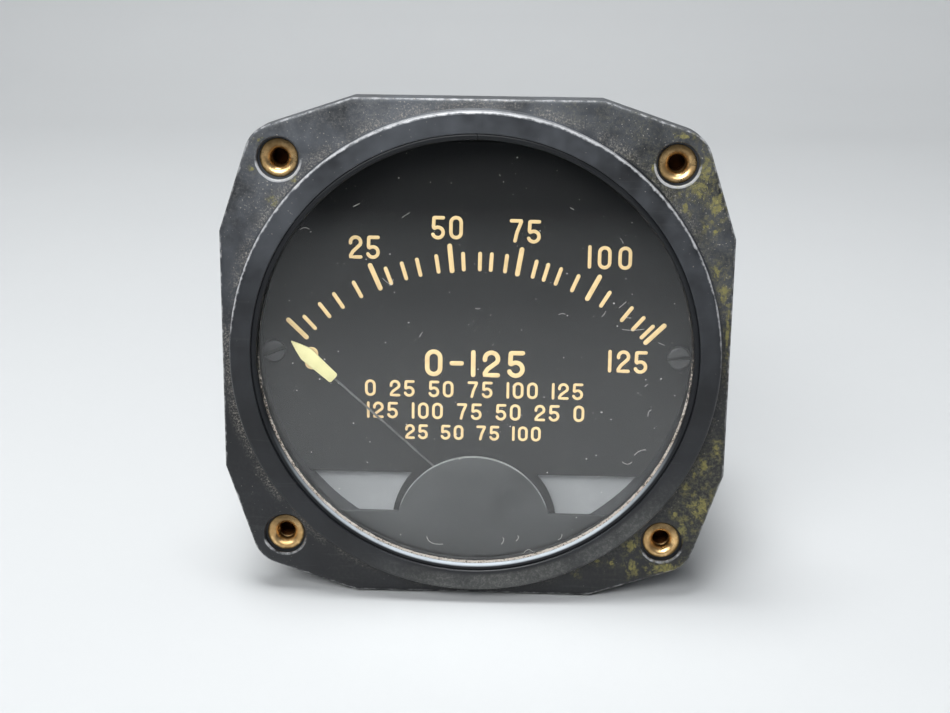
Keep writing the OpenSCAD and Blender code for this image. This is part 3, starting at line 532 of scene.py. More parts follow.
def insert_painted_shade(material):
    """Painted shadow on the upper side of each insert's bowl, under the recess's upper wall, and darker round its
    rim at the foot of the recess.
    """
    def cover(tree, color):
        xyz = object_xyz(tree)
        ragged = calc(tree, "ADD", over_screw(tree, xyz["Z"]), times(tree, noise(tree, 900.0, 4.0, 0.6), 0.0016))
        from_hole = from_screw(tree, xyz["X"], xyz["Z"])
        rim = calc(tree, "ADD", from_hole, times(tree, noise(tree, 1300.0, 4.0, 0.65), 0.0005))
        # Painted shade: darker towards the top of each bowl and round its rim
        dirt = most(tree, ramp(tree, ragged, 0.0004, 0.0034, 0.0, 0.8), ramp(tree, rim, 0.00285, 0.00325, 0.0, 0.85))
        return blend(tree, dirt, color, (0.03, 0.022, 0.012, 1))

    return over_color(material, cover)


def mask_edge_highlight(material, color):
    """A thin light line along the mask's round edge, a painted highlight on its upper part, over a material's
    colour.
    """
    def cover(tree, base):
        spot = object_xyz(tree)
        radius = length(tree, spot["X"], calc(tree, "SUBTRACT", spot["Z"], MASK_ROUND_Z * MM))
        line = ramp(tree, radius, (MASK_ROUND_R - 0.10) * MM, (MASK_ROUND_R - 0.07) * MM)
        rubbed = ramp(tree, noise(tree, 300.0, 3.0, 0.6), 0.25, 0.6, 0.35, 1.0)
        # Painted highlight: the line shows only on the upper part of the edge
        upper = ramp(tree, spot["Z"], (MASK_EDGE_Z + 0.2) * MM, (MASK_EDGE_Z + 2.0) * MM)
        return blend(tree, times(tree, line, upper, rubbed), base, color)

    return over_color(material, cover)


def wire_with_highlight():
    """Black wire with a pale bluish film on the upper inner side of its lower half: dust and a painted highlight."""
    m, tree, shader = new_material("blackened_wire")
    xyz = object_xyz(tree)
    cloud = use(tree, mottle, Scale=250.0, Grain_Scale=2500.0)
    # Dust and painted highlight: pale bluish on the inner side of the lower half, where the wire faces up
    film = times(
        tree, ramp(tree, length(tree, xyz["X"], xyz["Z"]), 0.03552, 0.03518), ramp(tree, xyz["Z"], -0.010, -0.033),
        ramp(tree, cloud["Cloud"], 0.2, 0.5, 0.6, 1.0))
    base = blend(tree, cloud["Cloud"], (0.008, 0.0085, 0.010, 1), (0.016, 0.017, 0.019, 1))
    tree.links.new(blend(tree, film, base, (0.42, 0.45, 0.48, 1)), shader.inputs["Base Color"])
    tree.links.new(ramp(tree, cloud["Cloud"], 0.3, 0.7, 0.30, 0.42), shader.inputs["Roughness"])
    shader.inputs["Specular IOR Level"].default_value = 0.2
    set_bump(tree, shader, cloud["Grain"], 0.05, 0.00003)
    return m


def clear_glass():
    """Clear glass that lets the light through to the dial."""
    m, tree, shader = new_material("clear_cover_glass")
    shader.inputs["Base Color"].default_value = (0.97, 0.985, 0.98, 1)
    shader.inputs["Transmission Weight"].default_value = 1.0
    shader.inputs["IOR"].default_value = 1.58
    film = use(tree, mottle, Scale=60.0, Grain_Scale=900.0)
    tree.links.new(ramp(tree, film["Cloud"], 0.35, 0.7, 0.0, 0.012), shader.inputs["Roughness"])
    through = add(tree, "BsdfTransparent")
    mix = add(tree, "MixShader", {0: add(tree, "LightPath").outputs["Is Shadow Ray"]})
    tree.links.new(shader.outputs[0], mix.inputs[1])
    tree.links.new(through.outputs[0], mix.inputs[2])
    tree.links.new(mix.outputs[0], tree.nodes["Material Output"].inputs["Surface"])
    return m


# Materials of the pieces

BRASS, BRASS_DARK = (0.55, 0.37, 0.13), (0.20, 0.12, 0.04)
STEEL, STEEL_DARK = (0.56, 0.56, 0.57), (0.30, 0.29, 0.28)
looks = {
    "case_moulding": phenolic(),
    # Painted shade deep in each insert's bore and on the upper side of its bowl
    "insert_brass": insert_painted_shade(
        hollow_painted_shade(
            metal("dull_insert_brass", (0.94, 0.63, 0.30), (0.56, 0.35, 0.15), 0.30, 500.0),
            1.9, 3.4, 5.7, (0.032, 0.012, 0.004, 1))),
    "blackened_wire": wire_with_highlight(),
    "cover_glass": clear_glass(),
    "gasket_rubber": coating("black_rubber", (0.012, 0.012, 0.012), (0.03, 0.03, 0.03), 0.7, 300.0, 0.25),
    "mask_paint": mask_edge_highlight(
        coating("mask_black", (0.006, 0.0063, 0.007), (0.016, 0.0165, 0.018), 0.5, 220.0, 0.18),
        (0.20, 0.205, 0.20, 1)),
    "dial_paint": coating(
        "dial_black", (0.0062, 0.0062, 0.0062), (0.0085, 0.0085, 0.0085), 0.6, 140.0, 0.16, 0.04, 0.15),
    # Painted shade in each screw's slot
    "black_screws": hollow_painted_shade(
        coating("blackened_screw", (0.024, 0.023, 0.024), (0.060, 0.058, 0.057), 0.4, 700.0, 0.15), 5.7, 5.85, 10.0),
    "grey_paint": coating("matte_grey_paint", (0.24, 0.24, 0.245), (0.28, 0.28, 0.285), 0.6, 120.0, 0.1, 0.05),
    "steel": metal("plain_steel", STEEL, STEEL_DARK, 0.32),
    "movement_brass": metal("movement_brass", BRASS, BRASS_DARK, 0.32),
    "pointer_paint": coating("luminous_cream", (0.67, 0.61, 0.31), (0.58, 0.52, 0.25), 0.6, 420.0, 0.05, 0.2),
    "pointer_aluminium": metal("drawn_aluminium", (0.27, 0.27, 0.265), (0.14, 0.14, 0.14), 0.4),
    "enamelled_copper": metal("enamelled_copper", (0.60, 0.22, 0.09), (0.28, 0.09, 0.03), 0.3),
    "spring_bronze": metal("spring_bronze", (0.62, 0.42, 0.20), (0.30, 0.18, 0.08), 0.3),
    "soft_iron": metal("soft_iron", (0.30, 0.30, 0.31), (0.14, 0.13, 0.12), 0.45),
    "magnet_paint": coating("magnet_red", (0.24, 0.025, 0.016), (0.16, 0.03, 0.02), 0.45),
    "board_laminate": coating("brown_laminate", (0.14, 0.062, 0.022), (0.20, 0.10, 0.04), 0.45),
    "spool_moulding": coating("pale_moulding", (0.58, 0.50, 0.33), (0.46, 0.38, 0.24), 0.5),
    "resistance_wire": metal("resistance_wire", (0.36, 0.15, 0.06), (0.16, 0.06, 0.03), 0.35),
    "tinned_brass": metal("tinned_brass", (0.62, 0.60, 0.54), (0.36, 0.34, 0.28), 0.35),
    "lead_cotton": coating("lead_cotton", (0.50, 0.44, 0.31), (0.36, 0.31, 0.21), 0.85, 900.0, 0.1, 0.5),
    "connector_aluminium": metal("plated_aluminium", (0.42, 0.42, 0.38), (0.30, 0.30, 0.265), 0.40, 320.0),
    "insulator_moulding": coating("insulator_black", (0.014, 0.014, 0.015), (0.03, 0.03, 0.03), 0.3),
    "pin_brass": metal("pin_brass", (0.66, 0.48, 0.20), (0.34, 0.22, 0.08), 0.25),
}
for subpart in frame["record"]["subparts"]:
    mesh = nodes[subpart["node"]].data
    mesh.materials.clear()
    mesh.materials.append(looks[subpart["material_slot"]])


# The case: flange, bezel ring and body

def outline_points():
    """The flange's outline as (x, z) points, anticlockwise."""
    to_corner = (FLAT_HALF - SCREW_HALF, FLANGE_HALF - SCREW_HALF)
    lean = math.atan2(to_corner[1], to_corner[0]) - math.acos(CORNER_R / math.hypot(*to_corner))
    tangent = math.degrees(lean)
    quarter = [(FLANGE_HALF, FLAT_HALF)]
    quarter += arc(SCREW_HALF, SCREW_HALF, CORNER_R, 90 - tangent, tangent, 10)
    quarter += [(FLAT_HALF, FLANGE_HALF)]
    points = []
    for q in range(4):
        c, s = ((1, 0), (0, 1), (-1, 0), (0, -1))[q]
        points += [(x * c - z * s, x * s + z * c) for x, z in quarter]
    return points


outline = outline_points()


def make_flange():
    obj = slab("flange", outline, 0, FLANGE_T)
    round_edges(obj, (0.0, FLANGE_T), 0.4, 3)
    for depth in (1.3, FLANGE_T - 1.3):
        bpy.ops.mesh.select_all(action="SELECT")
        bpy.ops.mesh.bisect(plane_co=(0, depth * MM, 0), plane_no=(0, 1, 0))
    pick(obj, "FACE", lambda f: abs(f.normal.y) > 0.99 and f.area > 0.001)
    for step in (0.5, 1.0):
        bpy.ops.mesh.inset(thickness=step * MM, use_individual=True)
    leave()
    return obj


def make_case():
    outside = [(0, RING_FRONT), (34.0, RING_FRONT), (36.7, RING_FRONT), (38.4, RING_FRONT)]
    outside += arc(RING_R - 0.5, RING_FRONT + 0.5, 0.5, -90, 0, 8)
    outside += [(RING_R, -2.0), (RING_R, -0.8)]
    outside += arc(RING_R + 0.4, -0.39, 0.4, 180, 90, 6)
    outside += [(RING_R + 0.4, FLANGE_T / 2), (BODY_R + 1.5, FLANGE_T / 2)]
    outside += arc(BODY_R + 1.5, FLANGE_T + 1.49, 1.5, 270, 180, 8)
    outside += [(BODY_R, 20.0), (BODY_R, 40.0)]
    outside += arc(BODY_R - 1.5, CASE_BACK - 1.5, 1.5, 0, 90, 8)
    outside += [(34.0, CASE_BACK), (0, CASE_BACK)]
    dial_bore = POCKET_R - 0.45
    rear_bore, lead_hole = dial_bore - 1.0, 6.6
    hollow = [(0, RING_FRONT - 1), (POCKET_R + 0.2, RING_FRONT - 1)]
    hollow += arc(POCKET_R + 0.2, RING_FRONT + 0.2, 0.2, 270, 180, 5)
    hollow += arc(WIRE_RING_R, GLASS_Y - WIRE_R, WIRE_R + 0.05, -52, 52, 8)
    hollow += [(POCKET_R, 1.2), (dial_bore, 1.2), (dial_bore, 10.0), (rear_bore, 10.0), (rear_bore, 47.0)]
    hollow += [(lead_hole, 47.0), (lead_hole, CASE_BACK + 1), (0, CASE_BACK + 1)]
    hole = [(0, -1.0), (RECESS_R + 1.0, -1.0), (RECESS_R + 0.17, -0.02), (RECESS_R, 0.2), (RECESS_R, INSERT_Y)]
    hole += [(INSERT_R, INSERT_Y), (INSERT_R, FLANGE_T + 2), (0, FLANGE_T + 2)]
    shell = make_flange()
    cut(shell, turned("body", outside, 256), "UNION")
    cut(shell, turned("hollow", hollow, 256), "DIFFERENCE")
    cut(shell, at_corners(turned("hole", hole, 64)), "DIFFERENCE")
    shell.name = "case_shell"
    shell.data.name = "case_shell"
    smooth(shell, 32)
    return shell


def outline_distance(x, z):
    """How far a point lies from the flange's outline."""
    best = 99.0
    for (ax, az), (bx, bz) in zip(outline, outline[1:] + outline[:1]):
        dx, dz = bx - ax, bz - az
        t = max(0.0, min(1.0, ((x - ax) * dx + (z - az) * dz) / (dx * dx + dz * dz)))
        best = min(best, math.hypot(x - ax - t * dx, z - az - t * dz))
    return best


def near(distance, reach):
    return max(0.0, 1.0 - distance / reach)


def mark_wear_and_highlight(obj):
    """Stores how near each vertex is to an edge that hands and panels rub; on the bezel ring the value also holds
    painted highlight, stronger on its outer edge and wall towards the top and on its inner edge towards the bottom.
    """
    mesh = obj.data
    values = mesh.attributes.new("edge", "FLOAT", "POINT").data
    for v, value in zip(mesh.vertices, values):
        x, y, z = v.co / MM
        r = math.hypot(x, z)
        # Painted highlight: the ring's inner edge is lighter towards the bottom, its outer edge towards the top
        inner = 0.3 * min(1.0, max(0.0, 0.5 - z / 40.0))
        outer = min(1.0, max(0.2, 0.75 + z / 30.0))
        wear_and_highlight = max(
            outer * near(math.hypot(r - 39.35, y + 2.85), 0.9), inner * near(math.hypot(r - 36.1, y + 2.95), 0.4),
            0.6 * near(math.hypot(r - BODY_R, y - 49.6), 1.3))
        # Painted highlight: the ring's outer wall is lighter towards the top
        if abs(r - RING_R) < 0.15 and -2.9 < y < -0.3:
            wear_and_highlight = max(wear_and_highlight, 0.55 + 0.5 * max(0.0, z / r))
        if r > 40.0 and -0.2 < y < FLANGE_T + 0.2:
            inset = outline_distance(x, z)
            wear_and_highlight = max(wear_and_highlight, near(math.hypot(inset, min(y, FLANGE_T - y)), 0.9))
        value.value = wear_and_highlight


case_shell = make_case()
mark_wear_and_highlight(case_shell)
finish_piece(case_shell, "gauge", "case_moulding", looks["case_moulding"], "case")


# The threaded inserts

def make_inserts():
    bore, bowl, bowl_depth, pitch, bore_end = 1.35, 2.65, 1.3, 0.8, FLANGE_T - 0.8
    profile = [(0, FLANGE_T), (INSERT_R, FLANGE_T), (INSERT_R, INSERT_Y + 0.1), (INSERT_R - 0.1, INSERT_Y)]
    profile.append((bowl, INSERT_Y))
    for i in range(1, 9):
        a = math.radians(90 - 90 * i / 8)
        profile.append((bowl - (bowl - bore) * math.cos(a), INSERT_Y + bowl_depth * (1 - math.sin(a))))
    y = INSERT_Y + bowl_depth
    while y + pitch < bore_end:
        profile += [(bore, y + 0.1), (bore + 0.38, y + 0.4), (bore, y + 0.7)]
        y += pitch
    profile += [(bore, bore_end), (0, bore_end + 0.001)]
    obj = at_corners(turned("threaded_insert", profile, 72), "threaded_inserts")
    smooth(obj, 40)
    return obj


finish_piece(make_inserts(), "gauge", "insert_brass", looks["insert_brass"], "panel_inserts")


# The connector's shell, with its thread

def make_connector():
    front, back, end, bore = 50.8, 53.3, 64.5, 6.5
    crest, root, pitch, plate_half, corner = 7.95, 7.4, 1.27, 11.5, 1.2
    corners = []
    for q, (sx, sz) in enumerate(((1, 1), (-1, 1), (-1, -1), (1, -1))):
        corners += arc(sx * plate_half, sz * plate_half, corner, 90 * q, 90 * q + 90, 6)
    plate = slab("connector_body", corners, front, back - front)
    round_edges(plate, (back,), 0.3, 2)
    leave()
    y = back + 1.6
    outside = [(0, front + 0.01), (crest, front + 0.01), (crest, y)]
    while y + pitch < end - 0.8:
        outside += [(crest, y + 0.1), (root, y + 0.55), (root, y + 0.72), (crest, y + 1.17)]
        y += pitch
    outside += [(crest, end - 0.35), (7.6, end), (0, end)]
    cut(plate, turned("shell", outside, 96), "UNION")
    hollow = [(0, front - 1), (bore, front - 1), (bore, end - 0.3)]
    hollow += [(bore + 0.35, end + 0.05), (bore + 0.35, end + 1), (0, end + 1)]
    cut(plate, turned("bore", hollow, 96), "DIFFERENCE")
    smooth(plate, 30)
    return plate


finish_piece(make_connector(), "gauge", "connector_aluminium", looks["connector_aluminium"], "connector_shell")


# The wire ring that holds the glass

def make_wire_ring():
    """A bent wire whose two ends all but touch at the top."""
    section = arc(WIRE_RING_R, GLASS_Y - WIRE_R, WIRE_R, 0, 360, 24)[:-1]
    obj = draw_line("wire_ring", [(0, y, r) for r, y in section])
    edit(obj)
    bpy.ops.mesh.spin(steps=360, angle=math.radians(359.85), center=(0, 0, 0), axis=(0, 1, 0))
    bpy.ops.mesh.select_all(action="SELECT")
    bpy.ops.mesh.fill_holes(sides=0)
    bpy.ops.mesh.select_all(action="SELECT")
    bpy.ops.mesh.normals_make_consistent(inside=False)
    leave()
    smooth(obj, 40)
    return obj


finish_piece(make_wire_ring(), "gauge", "blackened_wire", looks["blackened_wire"], "snap_ring")


# The mask over the pivot

def make_mask():
    half = math.degrees(math.acos(-MASK_EDGE_Z / DISC_R))
    rise = math.degrees(math.asin((MASK_EDGE_Z - MASK_ROUND_Z) / MASK_ROUND_R))
    points = arc(0, 0, DISC_R, half - 90, -90 - half, 48)
    points += arc(0, MASK_ROUND_Z, MASK_ROUND_R, 180 - rise, rise, 64)
    obj = slab("pivot_cover", points, MASK_Y, MASK_T)
    round_edges(obj, (MASK_Y,), 0.09, 2)
    leave()
    smooth(obj, 30)
    return obj


finish_piece(make_mask(), "gauge", "mask_paint", looks["mask_paint"], "pivot_mask")


# The slotted dial screws

def make_dial_screws():
    top, head, shank, tip = 5.6, 1.9, 0.8, 9.99
    profile = [(0, top), (1.2, top)] + arc(1.6, top + 0.3, 0.3, -90, 0, 5)
    profile += [(head, DIAL_Y), (shank, DIAL_Y), (shank, tip), (0, tip)]
    heads = []
    for side, lean in ((-1, 22), (1, 7)):
        screw = turned("dial_screw", profile, 64)
        bpy.ops.mesh.primitive_cube_add(size=MM, location=(0, 5.5 * MM, 0))
        slot = bpy.context.object
        bpy.ops.transform.resize(value=(5, 1.7, 0.65))
        bpy.ops.object.transform_apply(location=True, rotation=False, scale=True)
        edit(slot)
        bpy.ops.transform.rotate(value=math.radians(lean), orient_axis="Y", center_override=(0, 0, 0))
        leave()
        cut(screw, slot, "DIFFERENCE")
        screw.location = (side * 33.5 * MM, 0, -1.1 * MM)
        heads.append(screw)
    obj = join(heads, "dial_screw_heads")
    smooth(obj, 30)
    return obj


finish_piece(make_dial_screws(), "gauge", "black_screws", looks["black_screws"], "dial_screws")


# The pointer's painted arrow

def make_arrow():
    """The arrow at rest, with its corners rounded and its front edge softened."""
    tail, side, half, corner = 31.5, 0.95, 1.2, 0.4
    across = [(0.06, 40.95), (half * 0.55, 39.45), (half, 37.8), (half * 0.99, 37.2)]
    across += arc(side - corner, tail + corner, corner, -85, 0, 4)[::-1]
    across += arc(corner - side, tail + corner, corner, 180, 265, 4)[::-1]
    across += [(-half * 0.99, 37.2), (-half, 37.8), (-half * 0.55, 39.45), (-0.06, 40.95)]
    c, s = math.cos(math.radians(POINTER_REST)), math.sin(math.radians(POINTER_REST))
    obj = slab("pointer_arrow", [(u * c + v * s, v * c - u * s + PIVOT_Z) for u, v in across], ARROW_Y, ARROW_T)
    round_edges(obj, (ARROW_Y,), 0.05, 2)
    leave()
    smooth(obj, 30)
    return obj


finish_piece(make_arrow(), "pointer", "pointer_paint", looks["pointer_paint"], "pointer_head")


# Paint on the dial: every tick and number is a raised stroke with round ends

def soften(points, reach):
    """Rounds the sharp corners of a path."""
    result = [points[0]]
    for before, here, after in zip(points, points[1:], points[2:]):
        a, p, b = Vector(before), Vector(here), Vector(after)
        into, out = (p - a), (b - p)
        if into.length < 2 * reach or out.length < reach or into.angle(out) < 0.5:
            result.append(here)
            continue
        start, end = p - into.normalized() * reach, p + out.normalized() * reach
        for t in (0.0, 0.25, 0.5, 0.75, 1.0):
            q = start * (1 - t) ** 2 + p * (2 * t * (1 - t)) + end * t * t
            result.append((q.x, q.y))
    result.append(points[-1])
    return result


def pen_stroke(path, pen, closed=False):
    """A stroke of a round pen along a path of (x, z) points."""
    curve = bpy.data.curves.new("stroke", "CURVE")
    curve.dimensions = "3D"
    curve.bevel_depth = pen / 2 * MM
    curve.bevel_resolution = 2
    curve.use_fill_caps = not closed
    spots = [(Vector(p), 1.0) for p in path]
    if not closed:
        turns = [math.radians(t) for t in (25, 50, 70, 85)]
        first = (spots[0][0] - spots[1][0]).normalized() * pen / 2
        last = (spots[-1][0] - spots[-2][0]).normalized() * pen / 2
        start = [(spots[0][0] + first * math.sin(t), math.cos(t)) for t in reversed(turns)]
        end = [(spots[-1][0] + last * math.sin(t), math.cos(t)) for t in turns]
        spots = start + spots + end
    spline = curve.splines.new("POLY")
    spline.points.add(len(spots) - 1)
    spline.use_cyclic_u = closed
    for point, (p, radius) in zip(spline.points, spots):
        point.co = (p.x * MM, 0, p.y * MM, 1)
        point.radius = radius
    obj = bpy.data.objects.new("stroke", curve)
    bpy.context.collection.objects.link(obj)
    return obj


def painted(name, strokes, height, depth):
    """Strokes made a mesh, and flattened onto a face at some depth."""
    bpy.ops.object.select_all(action="DESELECT")
    for s in strokes:
        s.select_set(True)
    bpy.context.view_layer.objects.active = strokes[0]
    bpy.ops.object.convert(target="MESH")
    obj = join(list(bpy.context.selected_objects), name)
    edit(obj)
    bpy.ops.mesh.remove_doubles(threshold=1e-7)
    bpy.ops.transform.resize(value=(1, height, 1), center_override=(0, 0, 0))
    bpy.ops.transform.translate(value=(0, depth * MM, 0))
    leave()
    smooth(obj, 60)
    return obj


def glyph(sign, w, h):
    """The pen's paths for a number, centred, as (points, closed)."""
    a, top = w / 2, h / 2
    if sign == "0":
        return arc(0, top - a, a, 0, 180, 12) + arc(0, a - top, a, 180, 360, 12), True
    if sign == "1":
        return [(0, -top), (0, 0), (0, top)], False
    if sign == "2":
        path = [(-a, top - 1.15 * a)] + arc(0, top - a, a, 180, -30, 14)
        path += [(-0.55 * a, -0.45 * top), (-a, -0.85 * top), (-a, -top), (0, -top), (a, -top)]
        return soften(path, 0.1 * h), False
    if sign == "5":
        path = [(a, top), (0, top), (-0.82 * a, top), (-0.86 * a, 0.5 * top), (-0.9 * a, 0.02 * top)]
        path += arc(-0.04 * a, 1.02 * a - top, 1.04 * a, 128, -158, 18)
        return soften(path, 0.05 * h), False
    if sign == "7":
        path = [(-a, top), (0, top), (a, top), (0.15 * a, -0.1 * top), (-0.25 * a, -top)]
        return soften(path, 0.06 * h), False
    return [(-a, 0), (0, 0), (a, 0)], False


def number(sign, x, z, w, h, pen):
    path, closed = glyph(sign, w, h)
    return pen_stroke([(px + x, pz + z) for px, pz in path], pen, closed)


def number_row(signs, x, z, width, h, pen):
    """A row of numbers spread over a width."""
    wide = {"1": 0.0, "-": 0.42 * h, " ": 0.3 * h}
    sizes = [wide.get(s, 0.56 * h) for s in signs]
    space = (width - pen - sum(sizes)) / (len(signs) - 1)
    strokes, at = [], x - (width - pen) / 2
    for sign, size in zip(signs, sizes):
        if sign != " ":
            strokes.append(number(sign, at + size / 2, z, size, h, pen))
        at += size + space
    return strokes


def scale_tick(angle, r0, r1, pen):
    t = math.radians(angle)
    path = [(r * math.sin(t) - 0.03, PIVOT_Z + 0.1 + r * math.cos(t)) for r in (r0, (r0 + r1) / 2, r1)]
    return pen_stroke(path, pen)


# The ticks' angles about the pivot, in degrees, and the places of the scale's numbers, in millimetres
MAJOR = (-45.6, -23.7, -5.9, 9.7, 27.5, 45.3)
MINOR = (
    -42.5, -37.9, -33.9, -28.7, -20.8, -17.0, -13.5, -9.1, -3.1, 0.7, 3.3, 6.7,
    13.4, 16.1, 19.1, 23.3, 31.2, 37.3, 40.8, 43.7,
)
NUMBERS = (
    ("0", -27.36, -2.51), ("2", -19.88, 16.36), ("5", -17.03, 16.37), ("5", -6.41, 19.78), ("0", -3.48, 19.84),
    ("7", 6.33, 19.47), ("5", 9.18, 19.38), ("1", 18.33, 15.39), ("0", 20.77, 15.30), ("0", 24.11, 15.28),
    ("1", 22.18, -2.06), ("2", 24.42, -2.09), ("5", 27.28, -2.16),
)
ticks = [scale_tick(a, 39.4, 43.5, 0.80) for a in MAJOR]
ticks += [scale_tick(a, 39.5, 42.1, 0.64) for a in MINOR]
numbers = [number(sign, x, z + 0.09, 1.66, 3.28, 0.58) for sign, x, z in NUMBERS]
rows = number_row("0-125", -0.16, -2.83, 16.6, 3.85, 0.76)
rows += number_row("0 25 50 75 100 125", -0.28, -7.32, 36.4, 2.4, 0.45)
rows += number_row("125 100 75 50 25 0", 0.02, -11.14, 36.4, 2.4, 0.45)
rows += number_row("25 50 75 100", -0.36, -14.83, 22.8, 2.15, 0.44)
cream = coating("dial_cream", (0.73, 0.52, 0.25), (0.62, 0.43, 0.20), 0.6, 500.0, 0.05, 0.2)
for name, strokes in (("scale_ticks", ticks), ("scale_numbers", numbers), ("dial_numbers", rows)):
    finish_piece(painted(name, strokes, 0.14, DIAL_Y), "gauge", "pointer_paint", cream)


# Dust on the glass: a line along its edge, specks and short fibres

def pale_dust():
    """Speckled dust, thickest at the bottom."""
    m, tree, shader = new_material("pale_dust")
    xyz = object_xyz(tree)
    clumps = noise(tree, 420.0, 4.0, 0.7)
    tree.links.new(blend(tree, clumps, (0.40, 0.29, 0.20, 1), (0.74, 0.71, 0.66, 1)), shader.inputs["Base Color"])
    low = ramp(tree, xyz["Z"], 0.034, -0.030, -0.72, -0.08)
    thick = calc(tree, "ADD", low, ramp(tree, xyz["X"], 0.018, 0.034, 0.0, 0.06))
    thick = calc(tree, "ADD", thick, times(tree, noise(tree, 2600.0, 4.0, 0.75), 1.3))
    thick = calc(tree, "ADD", thick, times(tree, clumps, 0.5))
    tree.links.new(ramp(tree, thick, 0.55, 0.85, 0.0, 0.95), shader.inputs["Alpha"])
    shader.inputs["Roughness"].default_value = 0.9
    return m


def dust_line():
    """Dust that has gathered against the snap ring."""
    inside, outside, foot = 34.78, 35.2, GLASS_Y - 0.005
    profile = [(inside, foot), (inside + 0.14, GLASS_Y - 0.05), (outside, GLASS_Y - 0.04), (outside, foot)]
    obj = turned("edge_dust", profile, 720)
    edit(obj)
    pick(obj, "FACE", lambda f: f.center.xz.length < 0.0349)
    bpy.ops.transform.vertex_random(offset=0.09 * MM, seed=4)
    bpy.ops.transform.resize(value=(1, 0.35, 1), center_override=(0, (GLASS_Y - 0.03) * MM, 0))
    leave()
    smooth(obj, 60)
    return obj


# Short fibres on the glass: start, bend and end, in millimetres
FIBRES = (
    ((-7.6, -30.7), (-7.3, -32.3), (-4.9, -32.0)), ((24.3, -17.0), (25.2, -17.8), (25.9, -17.0)),
    ((26.2, -15.9), (27.0, -14.8), (28.1, -14.9)), ((28.2, -9.2), (28.1, -8.3), (28.7, -8.1)),
    ((4.8, -31.8), (5.5, -31.0), (5.0, -30.6)), ((7.2, -31.2), (7.9, -30.6), (7.5, -30.2)),
    ((8.6, -33.2), (9.3, -32.2), (10.0, -33.0)), ((14.2, -30.8), (14.9, -30.5), (14.8, -29.8)),
    ((-19.4, 24.2), (-18.9, 24.5), (-18.4, 24.7)), ((-11.7, 22.6), (-11.2, 23.0), (-10.5, 23.4)),
    ((-14.8, 12.8), (-14.1, 12.0), (-13.4, 11.8)), ((-13.8, 11.6), (-13.2, 12.1), (-13.1, 12.7)),
    ((-8.9, 3.3), (-8.7, 3.8), (-8.4, 4.1)), ((0.0, 8.2), (0.4, 8.0), (0.8, 8.2)),
    ((14.7, 24.6), (15.1, 24.4), (15.3, 24.3)), ((22.7, 19.9), (23.0, 19.5), (23.2, 19.1)),
    ((22.9, 8.7), (23.5, 9.2), (24.0, 9.7)), ((23.5, 5.2), (25.1, 4.9), (27.0, 5.3)),
    ((13.3, 7.4), (13.9, 7.7), (14.4, 7.5)), ((20.2, 7.2), (20.7, 7.7), (20.8, 8.1)),
    ((29.4, 3.1), (30.0, 2.8), (30.4, 2.7)), ((24.1, 7.2), (24.5, 7.0), (24.9, 7.1)),
    ((-27.9, 20.4), (-27.2, 21.0), (-26.4, 20.5)), ((27.5, -4.2), (27.8, -3.9), (28.0, -3.8)),
)


def make_mote():
    """A ragged crumb of dust, one millimetre in radius."""
    bpy.ops.object.select_all(action="DESELECT")
    bpy.ops.mesh.primitive_ico_sphere_add(subdivisions=1, radius=MM)
    obj = bpy.context.object
    edit(obj)
    bpy.ops.transform.vertex_random(offset=0.3 * MM, seed=2)
    bpy.ops.transform.resize(value=(1, 0.5, 1), center_override=(0, 0, 0))
    leave()
    return obj


def pale_lint():
    m, tree, shader = new_material("pale_lint")
    shade = blend(tree, noise(tree, 900.0, 3.0), (0.40, 0.385, 0.35, 1), (0.72, 0.70, 0.66, 1))
    tree.links.new(shade, shader.inputs["Base Color"])
    shader.inputs["Roughness"].default_value = 0.9
    return m


finish_piece(dust_line(), "gauge", "cover_glass", pale_dust())
lint = pale_lint()
chance = random.Random(7)
mote = make_mote()
motes = []
for _ in range(100):
    reach, turn = 33.5 * math.sqrt(chance.random()), chance.uniform(0, math.tau)
    x, z, size = reach * math.cos(turn), reach * math.sin(turn), chance.uniform(0.035, 0.1)
    copy = copy_at(mote, (x, GLASS_Y - 0.5 * size, z))
    copy.scale = (size * chance.uniform(0.8, 2.0), size, size * chance.uniform(0.8, 1.4))
    motes.append(copy)
bpy.data.objects.remove(mote)
finish_piece(join(motes, "glass_specks"), "gauge", "cover_glass", lint)
fibres = []
bends = [i / 8 for i in range(9)]
for a, b, c in FIBRES:
    path = [Vector(a) * (1 - t) ** 2 + Vector(b) * 2 * t * (1 - t) + Vector(c) * t * t for t in bends]
    fibres.append(pen_stroke(path, 0.062))
finish_piece(painted("glass_fibres", fibres, 0.8, GLASS_Y - 0.03), "gauge", "cover_glass", lint)


# Floor, light and camera

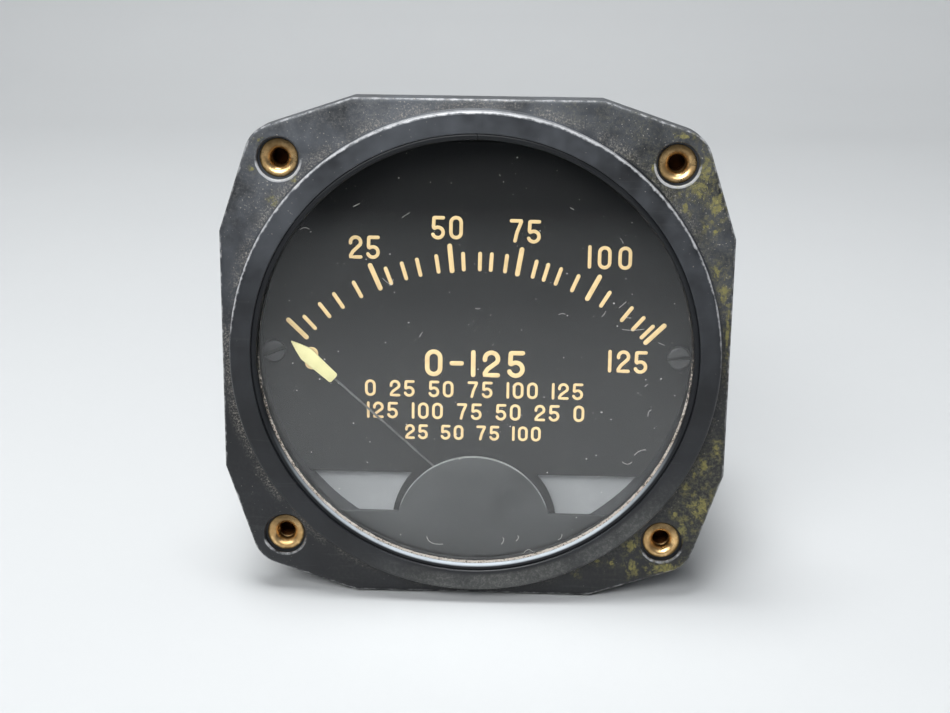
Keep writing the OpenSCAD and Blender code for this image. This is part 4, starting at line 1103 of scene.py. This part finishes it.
def make_floor():
    """A pale sweep that carries the gauge on its flange's lower edge and the back of its body."""
    lean = math.atan2(FLANGE_HALF - BODY_R, CASE_BACK - 1.5 - FLANGE_T)
    obj = draw_line("floor", [(-1500, -3000, 0), (1500, -3000, 0), (1500, 420, 0), (-1500, 420, 0)])
    edit(obj)
    bpy.ops.mesh.edge_face_add()
    mesh = obj.data
    pick(obj, "EDGE", lambda e: all(mesh.vertices[i].co.y > 0 for i in e.vertices))
    for dy, dz in ((60, 8), (50, 26), (35, 45), (20, 60), (8, 70), (0, 700)):
        bpy.ops.mesh.extrude_region_move(TRANSFORM_OT_translate={"value": (0, dy * MM, dz * MM)})
    bpy.ops.mesh.select_all(action="SELECT")
    bpy.ops.mesh.normals_make_consistent(inside=False)
    bpy.ops.transform.rotate(value=-lean, orient_axis="X", center_override=(0, FLANGE_T * MM, 0))
    bpy.ops.transform.translate(value=(0, 0, -FLANGE_HALF * MM))
    leave()
    smooth(obj, 60)
    m, tree, shader = new_material("pale_floor")
    cloud = use(tree, mottle, Scale=6.0, Grain_Scale=400.0)
    shade = blend(tree, cloud["Cloud"], (0.50, 0.50, 0.50, 1), (0.54, 0.54, 0.535, 1))
    depth = object_xyz(tree)["Y"]
    # Painted shade: far in front of the gauge the floor's colour turns dark, and the glass reflects that dark
    shade = blend(tree, ramp(tree, depth, -0.60, -1.02), shade, (0.12, 0.12, 0.12, 1))
    tree.links.new(shade, shader.inputs["Base Color"])
    shader.inputs["Roughness"].default_value = 0.8
    obj.data.materials.append(m)


make_floor()


def area_light(name, spot, aim, size, power, spread=180):
    data = bpy.data.lights.new(name, "AREA")
    data.shape = "RECTANGLE"
    data.size, data.size_y = size
    data.energy = power
    data.spread = math.radians(spread)
    data.color = (0.95, 0.98, 1.0)
    obj = bpy.data.objects.new(name, data)
    bpy.context.collection.objects.link(obj)
    obj.location = spot
    obj.rotation_euler = (Vector(aim) - Vector(spot)).to_track_quat("-Z", "Y").to_euler()


area_light("key", (-0.10, -0.10, 0.88), (0, 0, 0), (0.55, 0.38), 10.0)
area_light("front", (-0.12, -0.45, 0.30), (0, 0, 0.02), (0.5, 0.25), 0.6, 70)

world = bpy.data.worlds.new("studio")
bpy.context.scene.world = world
world.use_nodes = True
sky = world.node_tree
height = add(sky, "SeparateXYZ", {0: add(sky, "TexCoord").outputs["Generated"]}).outputs["Z"]
shade = blend(sky, ramp(sky, height, -0.02, 0.45), (0.014, 0.015, 0.017, 1), (0.115, 0.128, 0.148, 1))
sky.links.new(shade, sky.nodes["Background"].inputs["Color"])

camera_data = bpy.data.cameras.new("camera")
camera_data.sensor_width = 36.0
camera_data.lens = 58.13
camera = bpy.data.objects.new("camera", camera_data)
bpy.context.collection.objects.link(camera)
azimuth, elevation, roll = math.radians(1.64), math.radians(14.21), math.radians(-0.70)
level = Vector((-math.sin(azimuth), math.cos(azimuth), 0))
ahead = level * math.cos(elevation) - Vector((0, 0, math.sin(elevation)))
right = Vector((math.cos(azimuth), math.sin(azimuth), 0))
down = ahead.cross(right)
right, down = math.cos(roll) * right + math.sin(roll) * down, math.cos(roll) * down - math.sin(roll) * right
turn = Matrix((right, -down, -ahead)).transposed().to_4x4()
target, distance = Vector((0.00001, 0, -0.00015)), 0.2485
camera.matrix_world = Matrix.Translation(target - ahead * distance) @ turn
bpy.context.scene.camera = camera
bpy.context.scene.view_settings.view_transform = "Standard"
